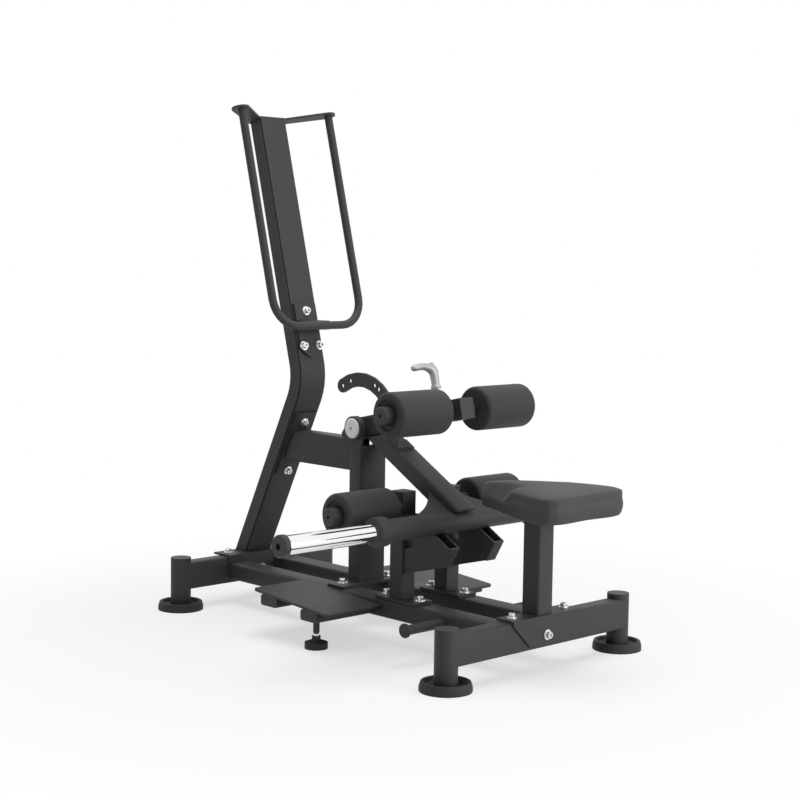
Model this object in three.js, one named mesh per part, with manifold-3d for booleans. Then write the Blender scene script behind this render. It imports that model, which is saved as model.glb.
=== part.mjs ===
// Standing hip thrust machine, rebuilt as an assembly of named pieces.
// Millimetres, +Z up, the user sits on the saddle and faces +Y, +X is the user's right hand.
// The pieces are drawn from a point midway between the front and rear leg posts, on the floor.
import * as THREE from 'three';
import { mergeVertices } from 'three/addons/utils/BufferGeometryUtils.js';
import { ParametricGeometry } from 'three/addons/geometries/ParametricGeometry.js';
import Module from 'manifold-3d';

const wasm = await Module();
wasm.setup();

// Fits and clearances
const seatGap = 0.3;
const runningGap = 0.1;
const cutOver = 2;
const weldTolerance = 0.001;

// Facets around round pieces
const foamFacets = 28;
const bigFacets = 24;
const midFacets = 18;
const smallFacets = 16;
const holeFacets = 12;
const cornerDivisions = 2;
const boreDivisions = 1;

// Leg posts and rubber cups
const postLineY = 580;
const frontTrackHalf = 331;
const rearTrackHalf = 280;
const legRadius = 30;
const legWall = 3;
const legHeight = 155;
const legLid = 4;
const cupRadius = 66.8;
const cupTopInset = 4;
const cupHeight = 24;
const cupFloor = 5;
const cupRimWidth = 7;
const cupDishDepth = 9;
const cupSocketWall = 6;

// Crossbars between the posts
const crossbarHeight = 80;
const crossbarDepth = 50;
const crossbarMidZ = 101;
const crossbarForward = 5;
const tubeWall = 3;
const tubeCorner = 7;

// Rails from front crossbar to rear crossbar
const railMidX = 86;
const railWidth = 70;
const railHeight = 50;
const railMidZ = 98;

// Band pegs on the outside of the rails
const pegY = -358;
const pegRadius = 13;
const pegReach = 264;
const pegCapRadius = 19;
const pegCapThickness = 9;

// Foot plates, their two cross tubes and the levelling feet
const footOuterX = 320;
const footHeelY = -125;
const footToeY = 188;
const footPlateThickness = 7;
const footPlateHeelZ = 107;
const footPlateTilt = 4.4;
const footCornerRadius = 12;
const footTubeWidth = 68;
const footTubeHeight = 30;
const footTubeHeelY = -50;
const footTubeToeY = 119;
const levelX = 290;
const levelY = -48;
const studRadius = 9;
const studGap = 0.4;
const levelFootRadius = 32;
const levelFootHeight = 24;
const levelHubRadius = 12;
const levelHubHeight = 10;
const levelBandRadius = 7.5;
const levelBandHeight = 10;
const levelRimShare = 0.7;

// Leaning column
const columnWidth = 100;
const columnThickness = 50;
const columnCorner = 9;
const columnTopZ = 1456;
const columnKneeZ = 680;
const columnKneeY = 301;
const columnUpperLean = 15;
const columnLowerLean = 26.1;
const columnBendRadius = 180;
const columnBendSteps = 10;
const columnFootPlateBack = 40;

// Saddle plates that bolt a post to a crossbar
const saddleTopHalf = 127;
const saddleFootHalf = 62;
const saddleThickness = 6;
const saddleDrop = 76;
const saddleBack = 26;

// Handle, its top plate and its bracket
const handleRadius = 12;
const handleHalf = 165;
const handleOffset = 63;
const handleBottomZ = 850;
const handleBendRadius = 80;
const handleBendSteps = 7;
const topPlateThickness = 6;
const topPlateTipRadius = 26;
const topPlateTipBack = 6;
const topPlateRearHalf = 46;
const topPlateOverhang = 8;
const bracketHalf = 38;
const bracketPlateHalf = 40;
const bracketPlateThickness = 8;
const bracketPlateAbove = 62;
const bracketPlateBelow = 93;
const bracketHeight = 26;
const bracketStart = 4;

// Beam from the column to the centre post
const beamWidth = 60;
const beamHeight = 92;
const beamTopZ = 536;
const beamPlateHalf = 38;
const beamPlateThickness = 6;
const beamPlateTopZ = 590;
const beamPlateBottomZ = 400;

// Centre post with its ears
const centrePostWidth = 100;
const centrePostDepth = 50;
const centrePostTopZ = 516;
const centreFlangeHalf = 119;
const centreFlangeDepth = 66;
const baseFlangeThickness = 8;
const postCapThickness = 4;
const earInnerX = 42;
const earOuterX = 50;
const ringOuterX = 60;
const earRingRadius = 34;
const earLugReach = 56;
const earLugTopZ = 553;
const earLugLowZ = 545;

// Main pivot
const pivotY = 72;
const pivotZ = 571;
const shaftRadius = 15;
const pivotCapRadius = 28.5;
const pivotCapThickness = 6;
const pivotCapRimShare = 0.86;

// Swing arm
const armSlope = 30;
const armWidth = 70;
const armTop = 38;
const armBottom = -12;
const armWall = 4;
const armStart = 38;
const armBoreStart = 110;
const armEnd = 436;
const armTaperPlaces = [[38, -5], [76, -6], [125, -12]];
const hubRadius = 28;
const hubHalfX = 16.5;
const neckTopPlace = [96, 10];
const neckLowPlace = [76, -7];

// Horn tube across the end of the arm
const hornAlong = 424.8;
const hornBelow = -10.8;
const hornRadius = 30;
const hornWall = 4;
const collarInnerX = 273;
const collarOuterX = 311;
const collarRadius = 39;
const sleeveRadius = 25;
const sleeveWall = 4;
const sleeveEndX = 607;
const sleeveCapEndX = 626;
const sleeveCapRadius = 29;
const sleeveCapDimple = 9;
const flareThickness = 8;
const flareStart = 322;
const flareEnd = 411;
const flareHalf = 169;
const flarePower = 1.6;
const flareSteps = 10;

// Sector plate and its bracket on the arm
const sectorOuter = 156;
const sectorInner = 116;
const sectorThickness = 8;
const sectorTailAngle = 33.4;
const sectorHoleRadius = 7;
const sectorHoleAngles = [33.4, 18.2, -25.3, -33.6, -55.9];
const sectorBaseNear = 125;
const sectorBaseFar = 163;
const sectorBaseThickness = 5;
const sectorBaseHalf = 27;
const sectorHeelY = -47.7;
const sectorHeelZ = 536;
const sectorGussetThickness = 6;
const sectorGussetRise = 44.5;

// Roller yoke
const yokeAngle = 12.3;
const yokeWidth = 50;
const yokeHeight = 60;
const yokeWall = 4;
const yokeCorner = 7;
const yokeSlotHalf = 17;
const yokeSlotEnd = 66;
const armToYokeGap = 1.3;
const yokeSleeveEnd = 300;
const yokeSlideStart = 190;
const yokeSlideGap = 0.6;
const yokeHeadWidth = 50;
const yokeHeadHeight = 57;
const yokeHeadCorner = 3;
const yokeHeadStart = 332;
const yokeHeadEnd = 399;
const upperAxleAlong = 358;
const pinRadius = 6;
const pinAlong = 136;
const pinKnobRadius = 16;
const pinKnobLength = 26;
const pinHousingRadius = 12;
const pinHousingLength = 12;
const pinEngagement = 8;
const pinKnobNeckShare = 0.7;
const pinKnobRimShare = 0.8;

// Clamp lever on the yoke sleeve
const leverAlong = 292;
const leverStudRadius = 7;
const leverStudHeight = 46;
const leverCollarRadius = 13;
const leverCollarHeight = 7;
const leverRise = 52;
const leverReach = 80;
const leverRodRadius = 9;
const leverBendRadius = 16;
const leverBendSteps = 4;

// Foam rollers
const rollerRadius = 60;
const rollerEdge = 9;
const rollerBore = 24;
const rollerRecessRadius = 42;
const rollerRecessDepth = 14;
const upperRollerInnerX = 66;
const upperRollerOuterX = 255;
const lowerRollerInnerX = 151;
const lowerRollerOuterX = 335;
const hubBossReach = 27;
const hubEndThickness = 9;
const hubHoleRadius = 4.5;
const axleRadius = 12;

// Catch posts and cradles
const catchY = -172;
const catchPostY = -166;
const catchPostSize = 50;
const catchPostCorner = 4;
const catchPostTopZ = 424;
const lowerAxleZ = 379;
const catchFlangeHalf = 78;
const catchFlangeSide = 35;
const cradleSlope = 30;
const cradleFrontY = -333.5;
const cradleFloorFrontZ = 237;
const cradleWall = 5;
const cradleHeight = 62;
const cradleSpan = 40;
const cradleCorner = 4;
const gussetInset = 2;
const gussetDrop = 36;
const gussetHeelZ = 267.5;
const gussetNotchY = -230;
const gussetNotchZ = 284.4;
const gussetNotchTopY = -222;

// Saddle pad on its post
const seatPostY = -580;
const seatPostSize = 58;
const seatPadBottomZ = 406;
const seatPadThickness = 70;
const seatPadCrown = 9;
const seatPadRearY = -754;
const seatPadNoseY = -388;
const seatPadRearHalf = 158;
const seatPadNoseHalf = 54;
const seatPadWidestY = -712;
const seatPadFlankPlaces = [[131, -609], [87, -520], [64, -470]];
const seatPlateThickness = 6;
const seatPlateHalf = 48;
const seatPlateLength = 180;
const seatFacets = 44;
const seatCornerShare = 0.3;
const seatNoseShare = 0.7;
const seatCrownShare = 0.14;

// Finishes
function finish(color, roughness, metalness) {
  return new THREE.MeshStandardMaterial({ color, roughness, metalness });
}
const blackPaint = () => finish(0x2b2b2d, 0.55, 0.2);
const blackRubber = () => finish(0x1c1c1d, 0.85, 0);
const blackPlastic = () => finish(0x242425, 0.5, 0);
const whitePlastic = () => finish(0xe6e6e4, 0.45, 0);
const chromeSteel = () => finish(0xd9dadc, 0.15, 1);
const zincSteel = () => finish(0xb9bbbd, 0.35, 0.9);
const blackFoam = () => finish(0x232324, 0.9, 0);
const blackVinyl = () => finish(0x262628, 0.6, 0);
const castAluminium = () => finish(0xc3c4c6, 0.4, 0.7);

const group = new THREE.Group();
group.name = 'hip_thrust_machine';

// Solids from three.js geometry
function signedVolume(position, index) {
  const a = new THREE.Vector3();
  const b = new THREE.Vector3();
  const c = new THREE.Vector3();
  let total = 0;
  for (let i = 0; i < index.length; i += 3) {
    a.fromArray(position, index[i] * 3);
    b.fromArray(position, index[i + 1] * 3);
    c.fromArray(position, index[i + 2] * 3);
    total += a.dot(b.cross(c));
  }
  return total;
}

function solidOf(geometry, matrix) {
  let bare = geometry.index ? geometry.toNonIndexed() : geometry.clone();
  for (const key of Object.keys(bare.attributes)) {
    if (key !== 'position') {
      bare.deleteAttribute(key);
    }
  }
  bare = mergeVertices(bare, weldTolerance);
  if (matrix) {
    bare.applyMatrix4(matrix);
  }
  const source = bare.index.array;
  const kept = [];
  for (let i = 0; i < source.length; i += 3) {
    const [p, q, r] = [source[i], source[i + 1], source[i + 2]];
    if (p !== q && q !== r && r !== p) {
      kept.push(p, q, r);
    }
  }
  const position = new Float32Array(bare.attributes.position.array);
  if (signedVolume(position, kept) < 0) {
    for (let i = 0; i < kept.length; i += 3) {
      [kept[i], kept[i + 1]] = [kept[i + 1], kept[i]];
    }
  }
  const data = new wasm.Mesh({ numProp: 3, vertProperties: position, triVerts: new Uint32Array(kept) });
  return new wasm.Manifold(data);
}

function addPiece(name, solid, material) {
  const data = solid.getMesh();
  const geometry = new THREE.BufferGeometry();
  const position = new Float32Array(data.vertProperties);
  geometry.setAttribute('position', new THREE.BufferAttribute(position, 3));
  geometry.setIndex(new THREE.BufferAttribute(new Uint32Array(data.triVerts), 1));
  const flat = geometry.toNonIndexed();
  flat.computeVertexNormals();
  const mesh = new THREE.Mesh(flat, material);
  mesh.name = name;
  group.add(mesh);
}

// Frames that stand an XY drawing up in another plane
function basis(u, v, w, origin) {
  const matrix = new THREE.Matrix4().makeBasis(u, v, w);
  matrix.setPosition(origin);
  return matrix;
}
const axisX = new THREE.Vector3(1, 0, 0);
const axisY = new THREE.Vector3(0, 1, 0);
const axisZ = new THREE.Vector3(0, 0, 1);

function extrude(shape, depth, divisions = cornerDivisions) {
  const options = { depth, bevelEnabled: false, curveSegments: divisions, steps: 1 };
  return new THREE.ExtrudeGeometry(shape, options);
}

// Drawing in Y and Z, extruded along X
function alongX(shape, fromX, toX, divisions) {
  const matrix = basis(axisY, axisZ, axisX, new THREE.Vector3(fromX, 0, 0));
  return solidOf(extrude(shape, toX - fromX, divisions), matrix);
}

// Drawing in X and Z, extruded along Y
function alongY(shape, fromY, toY, divisions) {
  const matrix = basis(axisX, axisZ, axisY.clone().negate(), new THREE.Vector3(0, toY, 0));
  return solidOf(extrude(shape, toY - fromY, divisions), matrix);
}

// Drawing in X and Y, extruded along Z
function alongZ(shape, fromZ, toZ, divisions) {
  const matrix = basis(axisX, axisY, axisZ, new THREE.Vector3(0, 0, fromZ));
  return solidOf(extrude(shape, toZ - fromZ, divisions), matrix);
}

function roundedBox(midU, midV, width, height, corner) {
  const [left, right] = [midU - width / 2, midU + width / 2];
  const [low, high] = [midV - height / 2, midV + height / 2];
  const shape = new THREE.Shape();
  shape.moveTo(left + corner, low);
  shape.absarc(right - corner, low + corner, corner, -Math.PI / 2, 0);
  shape.absarc(right - corner, high - corner, corner, 0, Math.PI / 2);
  shape.absarc(left + corner, high - corner, corner, Math.PI / 2, Math.PI);
  shape.absarc(left + corner, low + corner, corner, Math.PI, Math.PI * 1.5);
  shape.closePath();
  return shape;
}

function polygon(points) {
  return new THREE.Shape(points.map(([u, v]) => new THREE.Vector2(u, v)));
}

function box(fromX, toX, fromY, toY, fromZ, toZ) {
  const geometry = new THREE.BoxGeometry(toX - fromX, toY - fromY, toZ - fromZ);
  geometry.translate((fromX + toX) / 2, (fromY + toY) / 2, (fromZ + toZ) / 2);
  return solidOf(geometry);
}

// Square tube whose drawing plane is set by the extrude function handed in
function squareTube(run, midU, midV, width, height, corner, wall, from, to) {
  const outer = run(roundedBox(midU, midV, width, height, corner), from, to);
  const bore = roundedBox(midU, midV, width - wall * 2, height - wall * 2, corner - wall);
  return outer.subtract(run(bore, from - cutOver, to + cutOver, boreDivisions));
}

// Round bar along one axis
function rodX(radius, y, z, fromX, toX, facets) {
  const geometry = new THREE.CylinderGeometry(radius, radius, toX - fromX, facets);
  geometry.rotateZ(Math.PI / 2);
  geometry.translate((fromX + toX) / 2, y, z);
  return solidOf(geometry);
}

function rodZ(radius, x, y, fromZ, toZ, facets) {
  const geometry = new THREE.CylinderGeometry(radius, radius, toZ - fromZ, facets);
  geometry.rotateX(Math.PI / 2);
  geometry.translate(x, y, (fromZ + toZ) / 2);
  return solidOf(geometry);
}

// Turned piece from radius and height pairs, closed on its own axis
function turned(pairs, facets) {
  const points = pairs.map(([radius, height]) => new THREE.Vector2(radius, height));
  return new THREE.LatheGeometry(points, facets);
}

function turnedZ(pairs, x, y, facets) {
  const geometry = turned(pairs, facets);
  geometry.rotateX(Math.PI / 2);
  geometry.translate(x, y, 0);
  return solidOf(geometry);
}

// Heights in the pairs are distances from the middle plane towards the given side
function turnedX(pairs, side, y, z, facets) {
  const geometry = turned(pairs, facets);
  geometry.rotateZ(-Math.PI / 2 * side);
  geometry.translate(0, y, z);
  return solidOf(geometry);
}

// Curve given by stations, so that straight runs take one step and bends take several
class StationCurve extends THREE.Curve {
  constructor(stations) {
    super();
    this.stations = stations;
  }
  station(share) {
    return this.stations[Math.round(share * (this.stations.length - 1))];
  }
  getPoint(share, target = new THREE.Vector3()) {
    return target.copy(this.station(share).point);
  }
  getPointAt(share, target) {
    return this.getPoint(share, target);
  }
  getTangentAt(share, target = new THREE.Vector3()) {
    return target.copy(this.station(share).tangent);
  }
}

function roundBarAlong(stations, radius, facets) {
  const ring = [];
  for (let i = 0; i < facets; i += 1) {
    const turn = (i / facets) * Math.PI * 2;
    ring.push(new THREE.Vector2(Math.cos(turn) * radius, Math.sin(turn) * radius));
  }
  const path = new StationCurve(stations);
  const options = { steps: stations.length - 1, extrudePath: path, bevelEnabled: false };
  return new THREE.ExtrudeGeometry(new THREE.Shape(ring), options);
}

// Quarter bend in a plane, from one unit direction to another
function bendStations(centre, fromDirection, toDirection, radius, steps) {
  const list = [];
  for (let i = 0; i <= steps; i += 1) {
    const turn = (i / steps) * Math.PI / 2;
    const tangent = new THREE.Vector3();
    tangent.addScaledVector(fromDirection, Math.cos(turn));
    tangent.addScaledVector(toDirection, Math.sin(turn));
    const point = centre.clone();
    point.addScaledVector(fromDirection, radius * Math.sin(turn));
    point.addScaledVector(toDirection, -radius * Math.cos(turn));
    list.push({ point, tangent });
  }
  return list;
}

const radians = THREE.MathUtils.degToRad;
const sides = [['left', -1], ['right', 1]];

// Front and rear of the base share one set of rules
const ends = [
  { end: 'front', line: -postLineY, half: frontTrackHalf },
  { end: 'rear', line: postLineY, half: rearTrackHalf },
];
const crossbarTopZ = crossbarMidZ + crossbarHeight / 2;
const crossbarBottomZ = crossbarMidZ - crossbarHeight / 2;
const railTopZ = railMidZ + railHeight / 2;
const railOuterX = railMidX + railWidth / 2;
const cupFoot = cupFloor;

function cupProfile() {
  const dishZ = cupHeight - cupDishDepth;
  const socket = legRadius + seatGap;
  return [
    [0, 0],
    [cupRadius, 0],
    [cupRadius, cupHeight / 2],
    [cupRadius - cupTopInset, cupHeight],
    [cupRadius - cupTopInset - cupRimWidth, cupHeight],
    [cupRadius - cupTopInset - cupRimWidth - cupTopInset, dishZ],
    [socket + cupSocketWall, dishZ - cupTopInset],
    [socket, dishZ - cupTopInset],
    [socket, cupFoot],
    [0, cupFoot],
  ];
}

function legProfile() {
  return [
    [0, legHeight],
    [legRadius - seatGap, legHeight],
    [legRadius, legHeight - seatGap],
    [legRadius, cupFoot],
    [legRadius - legWall, cupFoot],
    [legRadius - legWall, legHeight - legLid],
    [0, legHeight - legLid],
  ];
}

for (const { end, line, half } of ends) {
  const barMidY = line - crossbarForward;
  let bar = squareTube(
    alongX, barMidY, crossbarMidZ, crossbarDepth, crossbarHeight, tubeCorner, tubeWall, -half, half,
  );
  for (const [side, sign] of sides) {
    const x = half * sign;
    addPiece(`foot_cup_${end}_${side}`, turnedZ(cupProfile(), x, line, bigFacets), blackRubber());
    addPiece(`leg_post_${end}_${side}`, turnedZ(legProfile(), x, line, bigFacets), blackPaint());
    bar = bar.subtract(rodZ(legRadius + seatGap, x, line, 0, legHeight, bigFacets));
  }
  addPiece(`crossbar_${end}`, bar, blackPaint());
}

// Rails butt against the inner faces of the crossbars
const railFrontY = -postLineY - crossbarForward + crossbarDepth / 2;
const railRearY = postLineY - crossbarForward - crossbarDepth / 2;
for (const [side, sign] of sides) {
  const x = railMidX * sign;
  const rail = squareTube(
    alongY, x, railMidZ, railWidth, railHeight, tubeCorner, tubeWall, railFrontY, railRearY,
  );
  addPiece(`rail_${side}`, rail, blackPaint());
  const pegShaftEnd = pegReach - pegCapThickness;
  const peg = turnedX([
    [0, railOuterX],
    [pegRadius, railOuterX],
    [pegRadius, pegShaftEnd],
    [0, pegShaftEnd],
  ], sign, pegY, railMidZ, midFacets);
  const pegCap = turnedX([
    [0, pegShaftEnd],
    [pegCapRadius, pegShaftEnd],
    [pegCapRadius, pegReach - pegCapThickness / 3],
    [pegCapRadius - pegCapThickness / 3, pegReach],
    [0, pegReach],
  ], sign, pegY, railMidZ, midFacets);
  addPiece(`band_peg_${side}`, peg.add(pegCap), blackPaint());
}

// Foot plates
function footPlateOutline(sign) {
  const inner = (railOuterX + seatGap) * sign;
  const outer = footOuterX * sign;
  const corner = footCornerRadius;
  const length = (footToeY - footHeelY) / Math.cos(radians(footPlateTilt));
  const shape = new THREE.Shape();
  shape.moveTo(inner, 0);
  shape.lineTo(inner, length);
  shape.lineTo(outer - corner * sign, length);
  if (sign > 0) {
    shape.absarc(outer - corner, length - corner, corner, Math.PI / 2, 0, true);
    shape.absarc(outer - corner, corner, corner, 0, -Math.PI / 2, true);
  } else {
    shape.absarc(outer + corner, length - corner, corner, Math.PI / 2, Math.PI, false);
    shape.absarc(outer + corner, corner, corner, Math.PI, Math.PI * 1.5, false);
  }
  shape.closePath();
  return shape;
}

function footPlateZ(y) {
  return footPlateHeelZ + (y - footHeelY) * Math.tan(radians(footPlateTilt));
}

for (const [side, sign] of sides) {
  const plateGeometry = extrude(footPlateOutline(sign), footPlateThickness, cornerDivisions + 1);
  const lay = new THREE.Matrix4().makeRotationX(radians(footPlateTilt));
  const drop = footPlateThickness / Math.cos(radians(footPlateTilt));
  lay.setPosition(0, footHeelY, footPlateHeelZ - drop);
  let plate = solidOf(plateGeometry, lay);
  const [near, far] = sign > 0 ? [railOuterX, footOuterX] : [-footOuterX, -railOuterX];
  for (const tubeY of [footTubeHeelY, footTubeToeY]) {
    const topZ = footPlateZ(tubeY - footTubeWidth / 2) - drop / 2;
    const midZ = topZ - footTubeHeight / 2;
    const tube = squareTube(
      alongX, tubeY, midZ, footTubeWidth, footTubeHeight, tubeCorner, tubeWall, near, far,
    );
    const lidOutline = roundedBox(tubeY, midZ, footTubeWidth, footTubeHeight, tubeCorner);
    const [lidFrom, lidTo] = sign > 0 ? [far - tubeWall, far] : [near, near + tubeWall];
    const lid = alongX(lidOutline, lidFrom, lidTo);
    plate = plate.add(tube).add(lid);
  }
  const heelTubeTop = footPlateZ(footTubeHeelY - footTubeWidth / 2) - drop / 2;
  const heelTubeBottom = heelTubeTop - footTubeHeight;
  const studBoreTop = heelTubeTop - tubeWall - cutOver;
  const studX = levelX * sign;
  const studBore = rodZ(
    studRadius + studGap, studX, levelY, heelTubeBottom - cutOver, studBoreTop, midFacets,
  );
  plate = plate.subtract(studBore);
  addPiece(`foot_plate_${side}`, plate, blackPaint());

  const stud = turnedZ([
    [0, levelFootHeight + levelHubHeight],
    [levelBandRadius, levelFootHeight + levelHubHeight],
    [levelBandRadius, levelFootHeight + levelHubHeight + levelBandHeight],
    [studRadius, levelFootHeight + levelHubHeight + levelBandHeight],
    [studRadius, studBoreTop - levelBandHeight - seatGap],
    [0, studBoreTop - levelBandHeight - seatGap],
  ], studX, levelY, midFacets);
  addPiece(`leveller_stud_${side}`, stud, zincSteel());
  const levelFoot = turnedZ([
    [0, 0],
    [levelFootRadius, 0],
    [levelFootRadius, levelFootHeight * levelRimShare],
    [levelHubRadius, levelFootHeight],
    [levelHubRadius, levelFootHeight + levelHubHeight],
    [0, levelFootHeight + levelHubHeight],
  ], studX, levelY, midFacets);
  addPiece(`leveller_foot_${side}`, levelFoot, blackRubber());
}

// Column, bent at the knee
function columnSpine() {
  const lower = new THREE.Vector2(-Math.sin(radians(columnLowerLean)), Math.cos(radians(columnLowerLean)));
  const upper = new THREE.Vector2(Math.sin(radians(columnUpperLean)), Math.cos(radians(columnUpperLean)));
  const knee = new THREE.Vector2(columnKneeY, columnKneeZ);
  const halfTurn = radians(columnLowerLean + columnUpperLean) / 2;
  const tangentLength = columnBendRadius * Math.tan(halfTurn);
  const spine = [];
  const footRun = columnKneeZ / Math.cos(radians(columnLowerLean));
  spine.push({ point: knee.clone().addScaledVector(lower, -footRun), direction: lower });
  const bendStart = knee.clone().addScaledVector(lower, -tangentLength);
  const inward = new THREE.Vector2(lower.y, -lower.x);
  const centre = bendStart.clone().addScaledVector(inward, columnBendRadius);
  for (let i = 0; i <= columnBendSteps; i += 1) {
    const turn = (i / columnBendSteps) * halfTurn * 2;
    const direction = lower.clone().rotateAround(new THREE.Vector2(0, 0), -turn);
    const outward = new THREE.Vector2(-direction.y, direction.x);
    spine.push({ point: centre.clone().addScaledVector(outward, columnBendRadius), direction });
  }
  const topRun = (columnTopZ - columnKneeZ) / Math.cos(radians(columnUpperLean)) + columnThickness;
  spine.push({ point: knee.clone().addScaledVector(upper, topRun), direction: upper });
  return spine;
}

// The spine is the column's -Y face; depth runs from it into the column
function columnBand(fromDepth, toDepth) {
  const outer = [];
  const inner = [];
  for (const { point, direction } of columnSpine()) {
    const into = new THREE.Vector2(direction.y, -direction.x);
    outer.push(point.clone().addScaledVector(into, fromDepth));
    inner.push(point.clone().addScaledVector(into, toDepth));
  }
  return new THREE.Shape([...outer, ...inner.reverse()]);
}

function columnFaceY(z) {
  const above = z > columnKneeZ;
  const lean = above ? columnUpperLean : -columnLowerLean;
  return columnKneeY + (z - columnKneeZ) * Math.tan(radians(lean));
}

function columnSolid(grow, wall) {
  const halfWidth = columnWidth / 2 - wall + grow;
  const band = columnBand(wall + columnCorner / 2 - grow, columnThickness - wall - columnCorner / 2 + grow);
  const wide = alongX(band, -halfWidth, halfWidth);
  const deep = columnBand(wall - grow, columnThickness - wall + grow);
  const core = alongX(deep, -halfWidth + columnCorner / 2, halfWidth - columnCorner / 2);
  return wide.add(core);
}

// Frame of the column's upper run: depth behind its front face, rise above its top edge
const leanCos = Math.cos(radians(columnUpperLean));
const leanSin = Math.sin(radians(columnUpperLean));
const upperLeanTan = leanSin / leanCos;
const columnTopY = columnFaceY(columnTopZ);
function upperPoint(depth, rise) {
  return [columnTopY + depth * leanCos + rise * leanSin, columnTopZ - depth * leanSin + rise * leanCos];
}

const baseTopZ = crossbarTopZ + saddleThickness;
const columnBelow = box(-columnWidth, columnWidth, -postLineY, postLineY * 2, -cutOver, baseTopZ);
const columnAbove = alongX(polygon([
  upperPoint(-columnThickness, -seatGap),
  upperPoint(columnThickness * 2, -seatGap),
  upperPoint(columnThickness * 2, columnThickness * 2),
  upperPoint(-columnThickness, columnThickness * 2),
]), -columnWidth, columnWidth);
const columnShell = columnSolid(0, 0).subtract(columnSolid(0, tubeWall + cutOver));
addPiece('column', columnShell.subtract(columnAbove).subtract(columnBelow), blackPaint());

// Saddle plate: a top plate over the crossbar and a flange down its front face
function saddlePlate(line, back, skirt) {
  const frontFaceY = line - crossbarForward - crossbarDepth / 2;
  const backY = line + back;
  const top = box(-saddleTopHalf, saddleTopHalf, frontFaceY - saddleThickness, backY, crossbarTopZ, baseTopZ);
  const mirrored = skirt.map(([x, z]) => [-x, z]).reverse();
  const flange = alongY(polygon([...skirt, ...mirrored]), frontFaceY - saddleThickness, frontFaceY);
  return top.add(flange);
}
const saddleFootZ = baseTopZ - saddleDrop;
const taperedSkirt = [
  [saddleTopHalf, baseTopZ],
  [saddleTopHalf, crossbarTopZ - saddleThickness],
  [saddleFootHalf, saddleFootZ],
];
const railInnerX = railMidX - railWidth / 2;
const notchedSkirt = [
  [saddleTopHalf, baseTopZ],
  [saddleTopHalf, railTopZ + seatGap],
  [railInnerX - seatGap, railTopZ + seatGap],
  [railInnerX - seatGap, saddleFootZ],
];
addPiece('column_saddle', saddlePlate(postLineY, columnFootPlateBack, notchedSkirt), blackPaint());

// Turn at which a straight edge from a point meets a round end, on the side given by the sign
function tangentTurn(fromU, fromV, midU, midV, radius, side) {
  const away = Math.atan2(fromV - midV, fromU - midU);
  const opening = Math.acos(radius / Math.hypot(fromU - midU, fromV - midV));
  return away + opening * side;
}

// Top plate of the handle: two wings with round tips, square to the column
const leanUp = new THREE.Vector3(0, leanSin, leanCos);
const leanDown = leanUp.clone().negate();
const leanForward = new THREE.Vector3(0, -leanCos, leanSin);
function topPlateSolid() {
  const frontHalf = columnWidth / 2;
  const rear = -columnThickness - topPlateOverhang;
  const tip = handleOffset - topPlateTipBack;
  const radius = topPlateTipRadius;
  const frontTurn = tangentTurn(frontHalf, 0, handleHalf, tip, radius, -1);
  const rearTurn = tangentTurn(topPlateRearHalf, rear, handleHalf, tip, radius, 1);
  const shape = new THREE.Shape();
  shape.moveTo(-frontHalf, 0);
  shape.lineTo(frontHalf, 0);
  shape.absarc(handleHalf, tip, radius, frontTurn, rearTurn, true);
  shape.lineTo(topPlateRearHalf, rear);
  shape.lineTo(-topPlateRearHalf, rear);
  shape.absarc(-handleHalf, tip, radius, Math.PI - rearTurn, Math.PI - frontTurn, true);
  shape.closePath();
  const [y, z] = upperPoint(0, topPlateThickness);
  const stand = basis(axisX, leanForward, leanDown, new THREE.Vector3(0, y, z));
  return solidOf(extrude(shape, topPlateThickness, cornerDivisions * 4), stand);
}
addPiece('handle_top_plate', topPlateSolid(), blackPaint());

// U shaped handle hung from the top plate
const handlePlaneShift = handleOffset / leanCos;
function handleAxisY(z) {
  return columnKneeY + (z - columnKneeZ) * upperLeanTan - handlePlaneShift;
}
function handleStations() {
  const bottom = new THREE.Vector3(0, handleAxisY(handleBottomZ), handleBottomZ);
  const legRun = (columnTopY - bottom.y) * leanSin + (columnTopZ - bottom.z) * leanCos - seatGap;
  const left = bottom.clone().addScaledVector(axisX, -handleHalf);
  const right = bottom.clone().addScaledVector(axisX, handleHalf);
  const inset = handleBendRadius;
  const leftCentre = left.clone().addScaledVector(leanUp, inset).addScaledVector(axisX, inset);
  const rightCentre = right.clone().addScaledVector(leanUp, inset).addScaledVector(axisX, -inset);
  return [
    { point: left.clone().addScaledVector(leanUp, legRun), tangent: leanDown.clone() },
    ...bendStations(leftCentre, leanDown, axisX, inset, handleBendSteps),
    ...bendStations(rightCentre, axisX, leanUp, inset, handleBendSteps),
    { point: right.clone().addScaledVector(leanUp, legRun), tangent: leanUp.clone() },
  ];
}
const handleGeometry = roundBarAlong(handleStations(), handleRadius, smallFacets);
addPiece('handle', solidOf(handleGeometry), blackPaint());

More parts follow.
